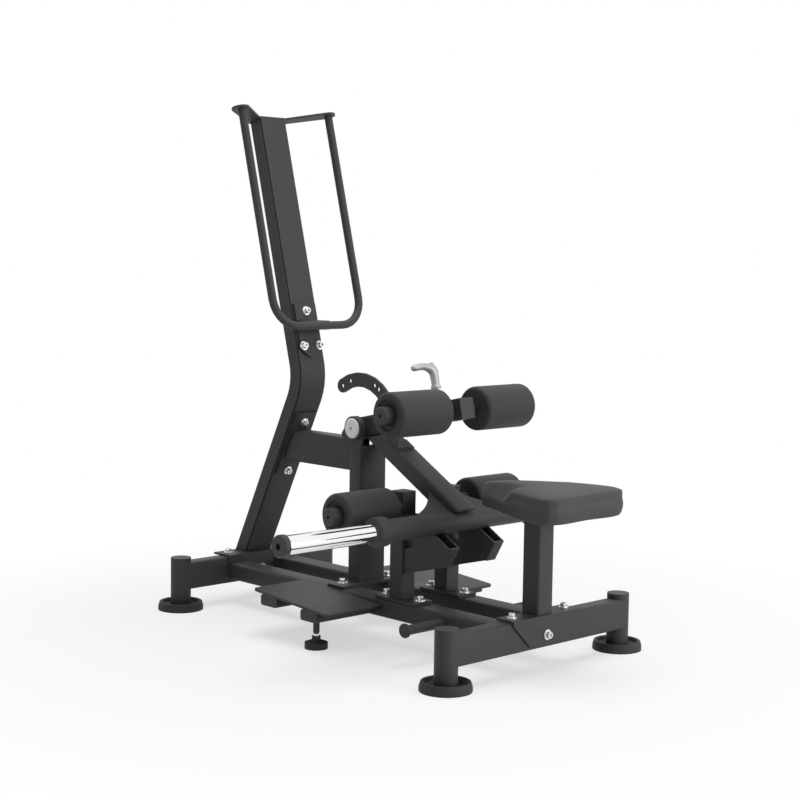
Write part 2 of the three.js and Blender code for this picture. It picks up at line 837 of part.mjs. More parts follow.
// Bracket that carries the bottom of the handle off the column face
const bracketMidY = handleAxisY(handleBottomZ);
function bracketSolid() {
  const faceY = (z) => columnKneeY + (z - columnKneeZ) * upperLeanTan - seatGap;
  const topZ = handleBottomZ + bracketPlateAbove;
  const lowZ = handleBottomZ - bracketPlateBelow;
  const thick = bracketPlateThickness / Math.cos(radians(columnUpperLean));
  const plate = alongX(polygon([
    [faceY(lowZ) - thick, lowZ],
    [faceY(lowZ), lowZ],
    [faceY(topZ), topZ],
    [faceY(topZ) - thick, topZ],
  ]), -bracketPlateHalf, bracketPlateHalf);
  const round = new THREE.Shape();
  round.absarc(0, lowZ + bracketPlateHalf, bracketPlateHalf, Math.PI, Math.PI * 2);
  round.lineTo(bracketPlateHalf, topZ);
  round.lineTo(-bracketPlateHalf, topZ);
  round.closePath();
  const mask = alongY(round, faceY(lowZ) - thick - cutOver, faceY(topZ) + cutOver, cornerDivisions * 3);
  const arm = alongX(polygon([
    [bracketMidY + bracketStart, handleBottomZ - bracketHeight / 2],
    [faceY(handleBottomZ - bracketHeight / 2) - thick / 2, handleBottomZ - bracketHeight / 2],
    [faceY(handleBottomZ + bracketHeight / 2) - thick / 2, handleBottomZ + bracketHeight / 2],
    [bracketMidY + bracketStart, handleBottomZ + bracketHeight / 2],
  ]), -bracketHalf, bracketHalf);
  const troughEnd = bracketHalf + cutOver;
  const trough = rodX(handleRadius + seatGap, bracketMidY, handleBottomZ, -troughEnd, troughEnd, smallFacets);
  return plate.intersect(mask).add(arm).subtract(trough);
}
addPiece('handle_bracket', bracketSolid(), blackPaint());

// Beam with its bolting plate on the column
const centrePostRearY = pivotY + centrePostDepth / 2;
const beamMidZ = beamTopZ - beamHeight / 2;
function beamSolid() {
  const lowerTan = Math.tan(radians(columnLowerLean));
  const faceY = (z) => columnKneeY - (z - columnKneeZ) * lowerTan - seatGap;
  const thick = beamPlateThickness / Math.cos(radians(columnLowerLean));
  const tubeRearY = faceY(beamPlateBottomZ);
  const tube = squareTube(
    alongY, 0, beamMidZ, beamWidth, beamHeight, tubeCorner, tubeWall, centrePostRearY, tubeRearY,
  );
  const reach = alongX(polygon([
    [0, beamPlateBottomZ],
    [faceY(beamPlateBottomZ) - thick / 2, beamPlateBottomZ],
    [faceY(beamPlateTopZ) - thick / 2, beamPlateTopZ],
    [0, beamPlateTopZ],
  ]), -beamPlateHalf, beamPlateHalf);
  const plate = alongX(polygon([
    [faceY(beamPlateBottomZ) - thick, beamPlateBottomZ],
    [faceY(beamPlateBottomZ), beamPlateBottomZ],
    [faceY(beamPlateTopZ), beamPlateTopZ],
    [faceY(beamPlateTopZ) - thick, beamPlateTopZ],
  ]), -beamPlateHalf, beamPlateHalf);
  return tube.intersect(reach).add(plate);
}
addPiece('beam', beamSolid(), blackPaint());

// Centre post, its flange across both rails, its cap and the two ears
const flangeTopZ = railTopZ + baseFlangeThickness;
const centrePostTube = squareTube(
  alongZ, 0, pivotY, centrePostWidth, centrePostDepth, tubeCorner, tubeWall, railTopZ, centrePostTopZ,
);
const centreFlange = alongZ(
  roundedBox(0, pivotY, centreFlangeHalf * 2, centreFlangeDepth, tubeCorner / 2), railTopZ, flangeTopZ,
);
addPiece('centre_post', centrePostTube.add(centreFlange), blackPaint());
const capGap = (tubeWall + seatGap) * 2;
const centreCap = alongZ(
  roundedBox(0, pivotY, centrePostWidth - capGap, centrePostDepth - capGap, tubeCorner - tubeWall),
  centrePostTopZ - postCapThickness,
  centrePostTopZ,
);
addPiece('centre_post_cap', centreCap, blackPlastic());

// Ears stand on the centre post and carry the bearing rings of the main pivot
const earFrontY = pivotY - centrePostDepth / 2;
const earHeelY = pivotY + earLugReach;
function earSolid(sign) {
  const rearTurn = tangentTurn(earHeelY, earLugTopZ, pivotY, pivotZ, earRingRadius, 1);
  const frontTurn = tangentTurn(earFrontY, centrePostTopZ, pivotY, pivotZ, earRingRadius, -1);
  const shape = new THREE.Shape();
  shape.moveTo(earFrontY, centrePostTopZ);
  shape.lineTo(centrePostRearY, centrePostTopZ);
  shape.lineTo(earHeelY, earLugLowZ);
  shape.lineTo(earHeelY, earLugTopZ);
  shape.absarc(pivotY, pivotZ, earRingRadius, rearTurn, frontTurn, false);
  shape.closePath();
  const [near, far] = sign > 0 ? [earInnerX, earOuterX] : [-earOuterX, -earInnerX];
  const plate = alongX(shape, near, far, cornerDivisions * 2);
  const [ringNear, ringFar] = sign > 0 ? [earInnerX, ringOuterX] : [-ringOuterX, -earInnerX];
  const ring = rodX(earRingRadius, pivotY, pivotZ, ringNear, ringFar, bigFacets);
  const bore = rodX(shaftRadius, pivotY, pivotZ, -ringOuterX - cutOver, ringOuterX + cutOver, bigFacets);
  return plate.add(ring).subtract(bore);
}
for (const [side, sign] of sides) {
  addPiece(`ear_${side}`, earSolid(sign), blackPaint());
  const cap = turnedX([
    [0, ringOuterX],
    [pivotCapRadius, ringOuterX],
    [pivotCapRadius, ringOuterX + pivotCapThickness / 2],
    [pivotCapRadius * pivotCapRimShare, ringOuterX + pivotCapThickness],
    [0, ringOuterX + pivotCapThickness],
  ], sign, pivotY, pivotZ, midFacets);
  addPiece(`pivot_cap_${side}`, cap, whitePlastic());
}
const shaft = rodX(shaftRadius, pivotY, pivotZ, -ringOuterX, ringOuterX, bigFacets);
addPiece('pivot_shaft', shaft, zincSteel());

// Swing arm: along runs from the pivot down the arm, above is square to it
const armCos = Math.cos(radians(armSlope));
const armSin = Math.sin(radians(armSlope));
function armPoint(along, above) {
  return [pivotY - along * armCos - above * armSin, pivotZ - along * armSin + above * armCos];
}
const facetAllowance = 1 / Math.cos(Math.PI / bigFacets);
const shaftBoreRadius = (shaftRadius + runningGap) * facetAllowance;
const [hornY, hornZ] = armPoint(hornAlong, hornBelow);
const armMatrix = new THREE.Matrix4().makeRotationX(radians(armSlope));
armMatrix.setPosition(0, pivotY, pivotZ);

// Yoke frame: out runs from the pivot along the yoke, over is square to it
const yokeCos = Math.cos(radians(yokeAngle));
const yokeSin = Math.sin(radians(yokeAngle));
function yokePoint(out, over) {
  return [pivotY - out * yokeCos + over * yokeSin, pivotZ + out * yokeSin + over * yokeCos];
}
const yokeMatrix = new THREE.Matrix4().makeRotationX(-radians(yokeAngle));
yokeMatrix.setPosition(0, pivotY, pivotZ);

// Drawing in X and height, run away from the pivot in the frame of the matrix
function alongFrame(matrix, shape, from, to, divisions) {
  const stand = basis(axisX, axisZ, axisY.clone().negate(), new THREE.Vector3(0, -from, 0));
  return solidOf(extrude(shape, to - from, divisions), matrix.clone().multiply(stand));
}

// The tube's near end is cut along the underside of the yoke, and its lower edge tapers
function armTube() {
  const mid = (armTop + armBottom) / 2;
  const height = armTop - armBottom;
  const outline = roundedBox(0, mid, armWidth, height, tubeCorner);
  const bore = roundedBox(0, mid, armWidth - armWall * 2, height - armWall * 2, tubeCorner - armWall);
  const outer = alongFrame(armMatrix, outline, armStart, armEnd);
  const inner = alongFrame(armMatrix, bore, armBoreStart, armEnd - armWall, boreDivisions);
  const under = -yokeHeight / 2 - armToYokeGap;
  const overCut = alongX(polygon([
    yokePoint(-armEnd, under),
    yokePoint(armEnd, under),
    yokePoint(armEnd, armEnd),
    yokePoint(-armEnd, armEnd),
  ]), -armWidth, armWidth);
  const [taperNear, , taperFar] = armTaperPlaces;
  const underCut = alongX(polygon([
    armPoint(taperNear[0] - cutOver, taperNear[1]),
    ...armTaperPlaces.map(([along, above]) => armPoint(along, above)),
    armPoint(taperFar[0], taperFar[1] - cutOver),
    armPoint(taperNear[0] - cutOver, taperFar[1] - cutOver),
  ]), -armWidth, armWidth);
  return outer.subtract(inner).subtract(overCut).subtract(underCut).subtract(hornFrontCut());
}

// Room in front of the horn tube's axis, so the arm ends as a lip level with the tube's top
function hornFrontCut() {
  const hornTop = hornZ + hornRadius + seatGap;
  return alongX(polygon([
    [hornY, hornTop],
    [hornY - armEnd, hornTop],
    [hornY - armEnd, hornTop - armEnd],
    [hornY, hornTop - armEnd],
  ]), -armWidth, armWidth);
}

// Hub that turns on the shaft between the cheeks of the yoke, with its neck into the tube
function armHub() {
  const neck = alongX(polygon([
    armPoint(0, hubRadius),
    armPoint(...neckTopPlace),
    armPoint(neckTopPlace[0], neckLowPlace[1]),
    armPoint(...neckLowPlace),
    armPoint(0, -hubRadius),
  ]), -hubHalfX, hubHalfX);
  return neck.add(rodX(hubRadius, pivotY, pivotZ, -hubHalfX, hubHalfX, bigFacets));
}

// Plate that spreads in a hollow curve from the middle of the arm's side to the horn tube
function flarePlate(sign) {
  const rootX = armWidth / 2 - armWall / 2;
  const points = [];
  for (let i = 0; i <= flareSteps; i += 1) {
    const share = (i / flareSteps) ** 2;
    const rise = 1 - (1 - share) ** flarePower;
    points.push([rootX + (flareHalf - rootX) * share, flareStart + (flareEnd - flareStart) * rise]);
  }
  points.push([flareHalf, hornAlong]);
  points.push([rootX, hornAlong]);
  const shape = polygon(points.map(([x, along]) => [x * sign, -along]));
  const underside = (armTop + armBottom - flareThickness) / 2;
  const lay = basis(axisX, axisY, axisZ, new THREE.Vector3(0, 0, underside));
  return solidOf(extrude(shape, flareThickness), armMatrix.clone().multiply(lay));
}

let arm = armTube().add(armHub());
for (const [, sign] of sides) {
  arm = arm.add(flarePlate(sign));
}
const hornCut = rodX(hornRadius + seatGap, hornY, hornZ, -collarInnerX, collarInnerX, bigFacets);
const shaftCut = rodX(shaftBoreRadius, pivotY, pivotZ, -ringOuterX, ringOuterX, bigFacets);
addPiece('swing_arm', arm.subtract(hornCut).subtract(shaftCut), blackPaint());

// Horn tube, stop collars, chrome sleeves and end caps
function ringX(outer, inner, from, to, sign, y, z, facets) {
  return turnedX([
    [inner, from],
    [outer, from],
    [outer, to],
    [inner, to],
    [inner, from],
  ], sign, y, z, facets);
}
const hornTube = rodX(hornRadius, hornY, hornZ, -collarInnerX, collarInnerX, bigFacets).subtract(
  rodX(hornRadius - hornWall, hornY, hornZ, -collarInnerX - cutOver, collarInnerX + cutOver, midFacets),
);
addPiece('horn_tube', hornTube, blackPaint());
for (const [side, sign] of sides) {
  const collarBore = sleeveRadius + seatGap;
  const collar = turnedX([
    [collarBore, collarInnerX],
    [collarRadius - cutOver, collarInnerX],
    [collarRadius, collarInnerX + cutOver],
    [collarRadius, collarOuterX - cutOver],
    [collarRadius - cutOver, collarOuterX],
    [collarBore, collarOuterX],
    [collarBore, collarInnerX],
  ], sign, hornY, hornZ, bigFacets);
  addPiece(`stop_collar_${side}`, collar, blackPaint());
  const sleeveBore = sleeveRadius - sleeveWall;
  const sleeve = ringX(sleeveRadius, sleeveBore, collarInnerX, sleeveEndX, sign, hornY, hornZ, bigFacets);
  addPiece(`plate_sleeve_${side}`, sleeve, chromeSteel());
  const capRim = sleeveCapRadius - cutOver * 2;
  const cap = turnedX([
    [0, sleeveEndX],
    [sleeveCapRadius, sleeveEndX],
    [sleeveCapRadius, sleeveCapEndX - cutOver * 2],
    [capRim, sleeveCapEndX],
    [sleeveCapDimple, sleeveCapEndX],
    [sleeveCapDimple, sleeveCapEndX - sleeveCapDimple],
    [0, sleeveCapEndX - sleeveCapDimple],
  ], sign, hornY, hornZ, midFacets);
  addPiece(`sleeve_cap_${side}`, cap, blackPlastic());
}

// Sector plate: angles are from upright, positive towards the column
function polar(radius, angle) {
  return [pivotY + radius * Math.sin(radians(angle)), pivotZ + radius * Math.cos(radians(angle))];
}
const sectorMid = (sectorOuter + sectorInner) / 2;
const sectorInnerX = yokeWidth / 2 + seatGap * 2;
const sectorOuterX = sectorInnerX + sectorThickness;
function arcPoints(radius, fromAngle, toAngle, steps) {
  const list = [];
  for (let i = 0; i <= steps; i += 1) {
    list.push(polar(radius, fromAngle + (toAngle - fromAngle) * (i / steps)));
  }
  return list;
}
const sectorFootAngle = -90;
const pinAngle = yokeAngle - 90;
function sectorPlate() {
  const steps = midFacets / 2;
  const tailRadius = (sectorOuter - sectorInner) / 2;
  const tail = [];
  for (let i = 1; i < smallFacets / 2; i += 1) {
    const turn = (i / (smallFacets / 2)) * Math.PI;
    const [midY, midZ] = polar(sectorMid, sectorTailAngle);
    const away = tailRadius * Math.sin(turn);
    const across = tailRadius * Math.cos(turn);
    const tilt = radians(sectorTailAngle);
    tail.push([
      midY + across * Math.sin(tilt) + away * Math.cos(tilt),
      midZ + across * Math.cos(tilt) - away * Math.sin(tilt),
    ]);
  }
  const outline = [
    ...arcPoints(sectorOuter, sectorFootAngle, sectorTailAngle, steps),
    ...tail,
    ...arcPoints(sectorInner, sectorTailAngle, sectorFootAngle, steps),
    [sectorHeelY, sectorHeelZ],
    armPoint(sectorBaseFar, armTop),
  ];
  let plate = alongX(polygon(outline), -sectorOuterX, -sectorInnerX);
  const [holeFrom, holeTo] = [-sectorOuterX - cutOver, -sectorInnerX + cutOver];
  for (const angle of [...sectorHoleAngles, pinAngle]) {
    const [y, z] = polar(sectorMid, angle);
    plate = plate.subtract(rodX(sectorHoleRadius, y, z, holeFrom, holeTo, holeFacets));
  }
  return plate;
}

// Foot of the sector plate: a base along the top of the arm and an upright gusset at its front
// The plate itself ends on the arm's top as well
function sectorOnFoot() {
  const baseLow = armTop + seatGap;
  const base = alongX(polygon([
    armPoint(sectorBaseNear, baseLow),
    armPoint(sectorBaseFar, baseLow),
    armPoint(sectorBaseFar, baseLow + sectorBaseThickness),
    armPoint(sectorBaseNear, baseLow + sectorBaseThickness),
  ]), -sectorOuterX, sectorBaseHalf);
  const [frontY, footZ] = armPoint(sectorBaseFar, baseLow);
  const gusset = alongY(polygon([
    [-sectorOuterX, footZ],
    [sectorBaseHalf, footZ],
    [-sectorOuterX, footZ + sectorGussetRise],
  ]), frontY, frontY + sectorGussetThickness);
  const armBelow = alongX(polygon([
    armPoint(0, baseLow),
    armPoint(armEnd, baseLow),
    armPoint(armEnd, -armEnd),
    armPoint(0, -armEnd),
  ]), -armWidth, armWidth);
  return sectorPlate().add(base).add(gusset).subtract(armBelow);
}
addPiece('sector_plate', sectorOnFoot(), blackPaint());
// Yoke sleeve: two round cheeks on the shaft, then a square tube for the sliding bar
const [pinY, pinZ] = polar(pinAlong, pinAngle);
function yokeSleeve() {
  const outline = roundedBox(0, 0, yokeWidth, yokeHeight, yokeCorner);
  const [boreWidth, boreHeight] = [yokeWidth - yokeWall * 2, yokeHeight - yokeWall * 2];
  const boreShape = roundedBox(0, 0, boreWidth, boreHeight, yokeCorner - yokeWall);
  const tube = alongFrame(yokeMatrix, outline, 0, yokeSleeveEnd);
  const bore = alongFrame(
    yokeMatrix, boreShape, yokeSlotEnd + yokeWall, yokeSleeveEnd + cutOver, boreDivisions,
  );
  const cheeks = rodX(yokeHeight / 2, pivotY, pivotZ, -yokeWidth / 2, yokeWidth / 2, bigFacets);
  const slotHeight = yokeHeight + cutOver * 2;
  const slotShape = roundedBox(0, 0, yokeSlotHalf * 2, slotHeight, cutOver);
  const slot = alongFrame(yokeMatrix, slotShape, -yokeHeight / 2 - cutOver, yokeSlotEnd, boreDivisions);
  const housingEnd = yokeWidth / 2 + pinHousingLength;
  const housing = rodX(pinHousingRadius, pinY, pinZ, yokeWidth / 2 - yokeWall, housingEnd, midFacets);
  const pinCut = rodX(pinRadius + studGap, pinY, pinZ, -yokeWidth, yokeWidth, midFacets);
  const studCut = studAlongYoke(leverStudRadius + studGap, 0, yokeHeight, midFacets);
  const sleeve = tube.add(cheeks).subtract(slot).subtract(bore).add(housing);
  return sleeve.subtract(pinCut).subtract(shaftCut).subtract(studCut);
}

// Round bar square to the yoke, through the lever's axis
function studAlongYoke(radius, fromOver, toOver, facets) {
  const geometry = new THREE.CylinderGeometry(radius, radius, toOver - fromOver, facets);
  geometry.rotateX(Math.PI / 2);
  geometry.translate(0, -leverAlong, (fromOver + toOver) / 2);
  return solidOf(geometry, yokeMatrix);
}
addPiece('yoke_sleeve', yokeSleeve(), blackPaint());

// Sliding bar with its head and axle
const slideWidth = yokeWidth - (yokeWall + yokeSlideGap) * 2;
const slideHeight = yokeHeight - (yokeWall + yokeSlideGap) * 2;
const [upperAxleY, upperAxleZ] = yokePoint(upperAxleAlong, 0);
const upperAxleEnd = upperRollerOuterX + hubBossReach - hubEndThickness - cutOver;
const slideOutline = roundedBox(0, 0, slideWidth, slideHeight, yokeCorner - yokeWall);
const slideBar = alongFrame(yokeMatrix, slideOutline, yokeSlideStart, yokeHeadStart + cutOver);
const headOutline = roundedBox(0, 0, yokeHeadWidth, yokeHeadHeight, yokeHeadCorner);
const slideHead = alongFrame(yokeMatrix, headOutline, yokeHeadStart, yokeHeadEnd);
const upperAxle = rodX(axleRadius, upperAxleY, upperAxleZ, -upperAxleEnd, upperAxleEnd, bigFacets);
addPiece('yoke_slide', slideBar.add(slideHead).add(upperAxle), blackPaint());

// Pull pin through the sleeve into the sector plate
const knobStart = yokeWidth / 2 + pinHousingLength + pinEngagement + seatGap;
const pinShaft = rodX(pinRadius, pinY, pinZ, -yokeWidth / 2, knobStart + pinKnobLength / 2, smallFacets);
const pinKnob = turnedX([
  [0, knobStart],
  [pinKnobRadius * pinKnobNeckShare, knobStart],
  [pinKnobRadius, knobStart + pinKnobLength / 3],
  [pinKnobRadius, knobStart + pinKnobLength * pinKnobRimShare],
  [pinKnobRadius * pinKnobRimShare, knobStart + pinKnobLength],
  [0, knobStart + pinKnobLength],
], 1, pinY, pinZ, smallFacets);
addPiece('pull_pin', pinShaft.add(pinKnob), zincSteel());

// Clamp lever: stud, collar and an arm that rises and turns to the user's left
function leverSolid() {
  const foot = slideHeight / 2 + yokeSlideGap;
  const top = yokeHeight / 2 + leverStudHeight;
  const stud = studAlongYoke(leverStudRadius, foot, top, holeFacets);
  const collar = studAlongYoke(leverCollarRadius, top - leverCollarHeight, top, midFacets);
  const upTo = top + leverRise;
  const corner = new THREE.Vector3(-leverBendRadius, -leverAlong, upTo - leverBendRadius);
  const stations = [
    { point: new THREE.Vector3(0, -leverAlong, top - cutOver), tangent: axisZ.clone() },
    ...bendStations(corner, axisZ, axisX.clone().negate(), leverBendRadius, leverBendSteps),
    { point: new THREE.Vector3(-leverReach, -leverAlong, upTo), tangent: axisX.clone().negate() },
  ];
  const rod = solidOf(roundBarAlong(stations, leverRodRadius, holeFacets), yokeMatrix);
  return stud.add(collar).add(rod);
}
addPiece('clamp_lever', leverSolid(), castAluminium());

// Foam rollers with their turning hubs
function foamProfile(innerX, outerX) {
  const bore = rollerBore + seatGap;
  const edge = rollerEdge;
  const softEdge = edge * (1 - Math.SQRT1_2);
  return [
    [bore, innerX],
    [rollerRadius - edge, innerX],
    [rollerRadius - softEdge, innerX + softEdge],
    [rollerRadius, innerX + edge],
    [rollerRadius, outerX - edge],
    [rollerRadius - softEdge, outerX - softEdge],
    [rollerRadius - edge, outerX],
    [rollerRecessRadius, outerX],
    [rollerRecessRadius - edge / 2, outerX - rollerRecessDepth],
    [bore, outerX - rollerRecessDepth],
    [bore, innerX],
  ];
}

function hubProfile(innerX, outerX) {
  const end = outerX + hubBossReach;
  const bore = (axleRadius + runningGap) * facetAllowance;
  const lip = rollerEdge / 3;
  return [
    [bore, innerX],
    [rollerBore, innerX],
    [rollerBore, end - lip],
    [rollerBore - lip, end],
    [hubHoleRadius, end],
    [hubHoleRadius, end - hubEndThickness],
    [bore, end - hubEndThickness],
    [bore, innerX],
  ];
}

const catchOuterX = railMidX + catchPostSize / 2;
const rollerSets = [
  { level: 'upper', y: upperAxleY, z: upperAxleZ, inner: upperRollerInnerX, outer: upperRollerOuterX },
  { level: 'lower', y: catchY, z: lowerAxleZ, inner: lowerRollerInnerX, outer: lowerRollerOuterX },
];
for (const { level, y, z, inner, outer } of rollerSets) {
  for (const [side, sign] of sides) {
    const foam = turnedX(foamProfile(inner, outer), sign, y, z, foamFacets);
    addPiece(`${level}_roller_foam_${side}`, foam, blackFoam());
    const hub = turnedX(hubProfile(inner, outer), sign, y, z, bigFacets);
    addPiece(`${level}_roller_hub_${side}`, hub, blackPlastic());
  }
}

// Catch posts with their flange and stub axle
const lowerAxleEnd = lowerRollerOuterX + hubBossReach - hubEndThickness - cutOver;
const catchFrontY = catchPostY - catchPostSize / 2;
function catchPost(sign) {
  const x = railMidX * sign;
  const size = catchPostSize;
  const lidZ = catchPostTopZ - tubeWall;
  const tube = squareTube(alongZ, x, catchPostY, size, size, catchPostCorner, tubeWall, railTopZ, lidZ);
  const lid = alongZ(roundedBox(x, catchPostY, size, size, catchPostCorner), lidZ, catchPostTopZ);
  const flangeOutline = roundedBox(x, catchY, catchFlangeSide * 2, catchFlangeHalf * 2, tubeCorner / 2);
  const drain = rodZ(axleRadius, x, catchY, railTopZ - cutOver, flangeTopZ + cutOver, smallFacets);
  const flange = alongZ(flangeOutline, railTopZ, flangeTopZ).subtract(drain);
  const from = (railMidX - catchPostSize / 4) * sign;
  const to = lowerAxleEnd * sign;
  const axle = rodX(axleRadius, catchY, lowerAxleZ, Math.min(from, to), Math.max(from, to), bigFacets);
  const shoulder = turnedX([
    [0, catchOuterX - tubeWall],
    [rollerBore - tubeWall, catchOuterX - tubeWall],
    [rollerBore - tubeWall, lowerRollerInnerX - seatGap],
    [0, lowerRollerInnerX - seatGap],
  ], sign, catchY, lowerAxleZ, midFacets);
  return tube.add(lid).add(flange).add(axle).add(shoulder);
}
// Cradles: an open channel that rises to the catch post, with a gusset under it
const cradleTan = Math.tan(radians(cradleSlope));
const cradleCos = Math.cos(radians(cradleSlope));
const cradleSin = Math.sin(radians(cradleSlope));
function cradleSolid(sign) {
  const postY = catchFrontY + tubeWall / 2;
  const floorZ = (y) => cradleFloorFrontZ + (y - cradleFrontY) * cradleTan;
  const lipY = cradleFrontY - cradleHeight * cradleSin;
  const lipZ = cradleFloorFrontZ + cradleHeight * cradleCos;
  const topZ = (y) => lipZ + (y - lipY) * cradleTan;
  const innerX = (railMidX - cradleSpan / 2) * sign;
  const outerX = (railMidX + cradleSpan / 2) * sign;
  const [nearX, farX] = [Math.min(innerX, outerX), Math.max(innerX, outerX)];
  const floorDrop = cradleWall / cradleCos;
  const rearTop = Math.min(topZ(postY), hornZ + hornRadius / 2);
  const rearTopY = lipY + (rearTop - lipZ) / cradleTan;
  const channelShape = polygon([
    [cradleFrontY, cradleFloorFrontZ],
    [postY, floorZ(postY)],
    [postY, rearTop],
    [rearTopY, rearTop],
    [lipY, lipZ],
  ]);
  const roundFront = new THREE.Shape();
  const maskDepth = catchFrontY - cradleFrontY + cradleHeight;
  roundFront.moveTo(farX, maskDepth);
  roundFront.lineTo(nearX, maskDepth);
  roundFront.absarc(nearX + cradleCorner, cradleCorner, cradleCorner, Math.PI, Math.PI * 1.5, false);
  roundFront.absarc(farX - cradleCorner, cradleCorner, cradleCorner, -Math.PI / 2, 0, false);
  roundFront.closePath();
  const up = new THREE.Vector3(0, -cradleSin, cradleCos);
  const back = new THREE.Vector3(0, cradleCos, cradleSin);
  const low = new THREE.Vector3(0, cradleFrontY, cradleFloorFrontZ).addScaledVector(up, -cradleHeight);
  const frontMask = solidOf(extrude(roundFront, cradleHeight * 4), basis(axisX, back, up, low));
  const channel = alongX(channelShape, nearX, farX).intersect(frontMask);
  const roomShape = polygon([
    [cradleFrontY - floorDrop * cradleSin + cradleWall / cradleCos, cradleFloorFrontZ + floorDrop],
    [postY - cradleWall, floorZ(postY - cradleWall) + floorDrop],
    [postY - cradleWall, rearTop + cradleHeight],
    [lipY + cradleWall / cradleCos, rearTop + cradleHeight],
    [lipY + cradleWall / cradleCos, lipZ],
  ]);
  const room = alongX(roomShape, nearX + cradleWall, farX - cradleWall);
  const notch = rodX(hornRadius + seatGap, hornY, hornZ, nearX - cutOver, farX + cutOver, bigFacets);
  const inside = floorDrop / 2;
  const gusset = alongX(polygon([
    [cradleFrontY + cutOver, floorZ(cradleFrontY + cutOver)],
    [postY, cradleFloorFrontZ - gussetDrop],
    [postY, gussetHeelZ],
    [gussetNotchY, gussetNotchZ],
    [gussetNotchTopY, floorZ(gussetNotchTopY) + inside],
    [cradleFrontY + cradleWall, floorZ(cradleFrontY + cradleWall) + inside],
  ]), nearX + gussetInset, farX - gussetInset);
  return channel.subtract(room).subtract(notch).add(gusset);
}
for (const [side, sign] of sides) {
  addPiece(`catch_post_${side}`, catchPost(sign).add(cradleSolid(sign)), blackPaint());
}

// Seat post with its saddle plate, seat plate and pad
const seatPlateBottomZ = seatPadBottomZ - seatPlateThickness;
const seatTube = squareTube(
  alongZ, 0, seatPostY, seatPostSize, seatPostSize, tubeCorner, tubeWall, crossbarTopZ, seatPlateBottomZ,
);
addPiece('seat_post', saddlePlate(-postLineY, saddleBack, taperedSkirt).add(seatTube), blackPaint());
const seatPlate = alongZ(
  roundedBox(0, seatPostY, seatPlateHalf * 2, seatPlateLength, tubeCorner), seatPlateBottomZ, seatPadBottomZ,
);
addPiece('seat_plate', seatPlate, blackPaint());

// Half width of the pad at a place between its rear and its nose
function padOutline() {
  const rearRound = seatPadWidestY - seatPadRearY;
  const cornerCut = rearRound * seatCornerShare;
  const half = [
    new THREE.Vector2(0, seatPadRearY),
    new THREE.Vector2(seatPadRearHalf - rearRound, seatPadRearY),
    new THREE.Vector2(seatPadRearHalf - cornerCut, seatPadRearY + cornerCut),
    new THREE.Vector2(seatPadRearHalf, seatPadWidestY),
    ...seatPadFlankPlaces.map(([across, y]) => new THREE.Vector2(across, y)),
    new THREE.Vector2(seatPadNoseHalf, seatPadNoseY - seatPadNoseHalf),
    new THREE.Vector2(seatPadNoseHalf * seatNoseShare, seatPadNoseY - seatPadNoseHalf * (1 - seatNoseShare)),
    new THREE.Vector2(0, seatPadNoseY),
  ];
  const mirrored = half.slice(1, -1).reverse().map((p) => new THREE.Vector2(-p.x, p.y));
  const loop = [...half, ...mirrored].map((p) => new THREE.Vector3(p.x, p.y, 0));
  return new THREE.CatmullRomCurve3(loop, true, 'centripetal');
}

// Ring shares from the middle of the underside, round the side, to the middle of the crown
const padRingShares = [
  [0, 0],
  [0.93, 0],
  [0.965, 0.03],
  [0.99, 0.2],
  [1, 0.45],
  [0.985, 0.68],
  [0.985, 0.76],
  [0.99, 0.86],
  [0.985, 0.94],
  [0.96, 0.995],
  [0.8, 1.04],
  [0.6, 1.09],
  [0.3, 1.13],
  [0, 1.14],
];
const padMiddleY = (seatPadRearY + seatPadNoseY) / 2;
const outlineCurve = padOutline();
function padSurface(around, level, target) {
  const place = level * (padRingShares.length - 1);
  const below = Math.min(Math.floor(place), padRingShares.length - 2);
  const blend = place - below;
  const share = THREE.MathUtils.lerp(padRingShares[below][0], padRingShares[below + 1][0], blend);
  const lift = THREE.MathUtils.lerp(padRingShares[below][1], padRingShares[below + 1][1], blend);
  const edge = outlineCurve.getPointAt(around === 1 ? 0 : around);
  const crown = Math.max(lift - 1, 0) / seatCrownShare;
  const rise = Math.min(lift, 1) * seatPadThickness + crown * seatPadCrown;
  target.set(edge.x * share, padMiddleY + (edge.y - padMiddleY) * share, seatPadBottomZ + rise);
}
const padGeometry = new ParametricGeometry(padSurface, seatFacets, padRingShares.length - 1);
addPiece('seat_pad', solidOf(padGeometry), blackVinyl());

// The origin goes under the middle of the machine's outline
const outlineBox = new THREE.Box3().setFromObject(group);
const outlineMiddle = outlineBox.getCenter(new THREE.Vector3());
for (const mesh of group.children) {
  mesh.geometry.translate(0, -outlineMiddle.y, 0);
}

export default group;
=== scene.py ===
"""Standing hip thrust machine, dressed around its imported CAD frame."""

import math

import bmesh
import bpy
from bpy.props import FloatProperty, FloatVectorProperty, IntProperty, PointerProperty
from mathutils import Matrix, Vector
from mathutils.bvhtree import BVHTree


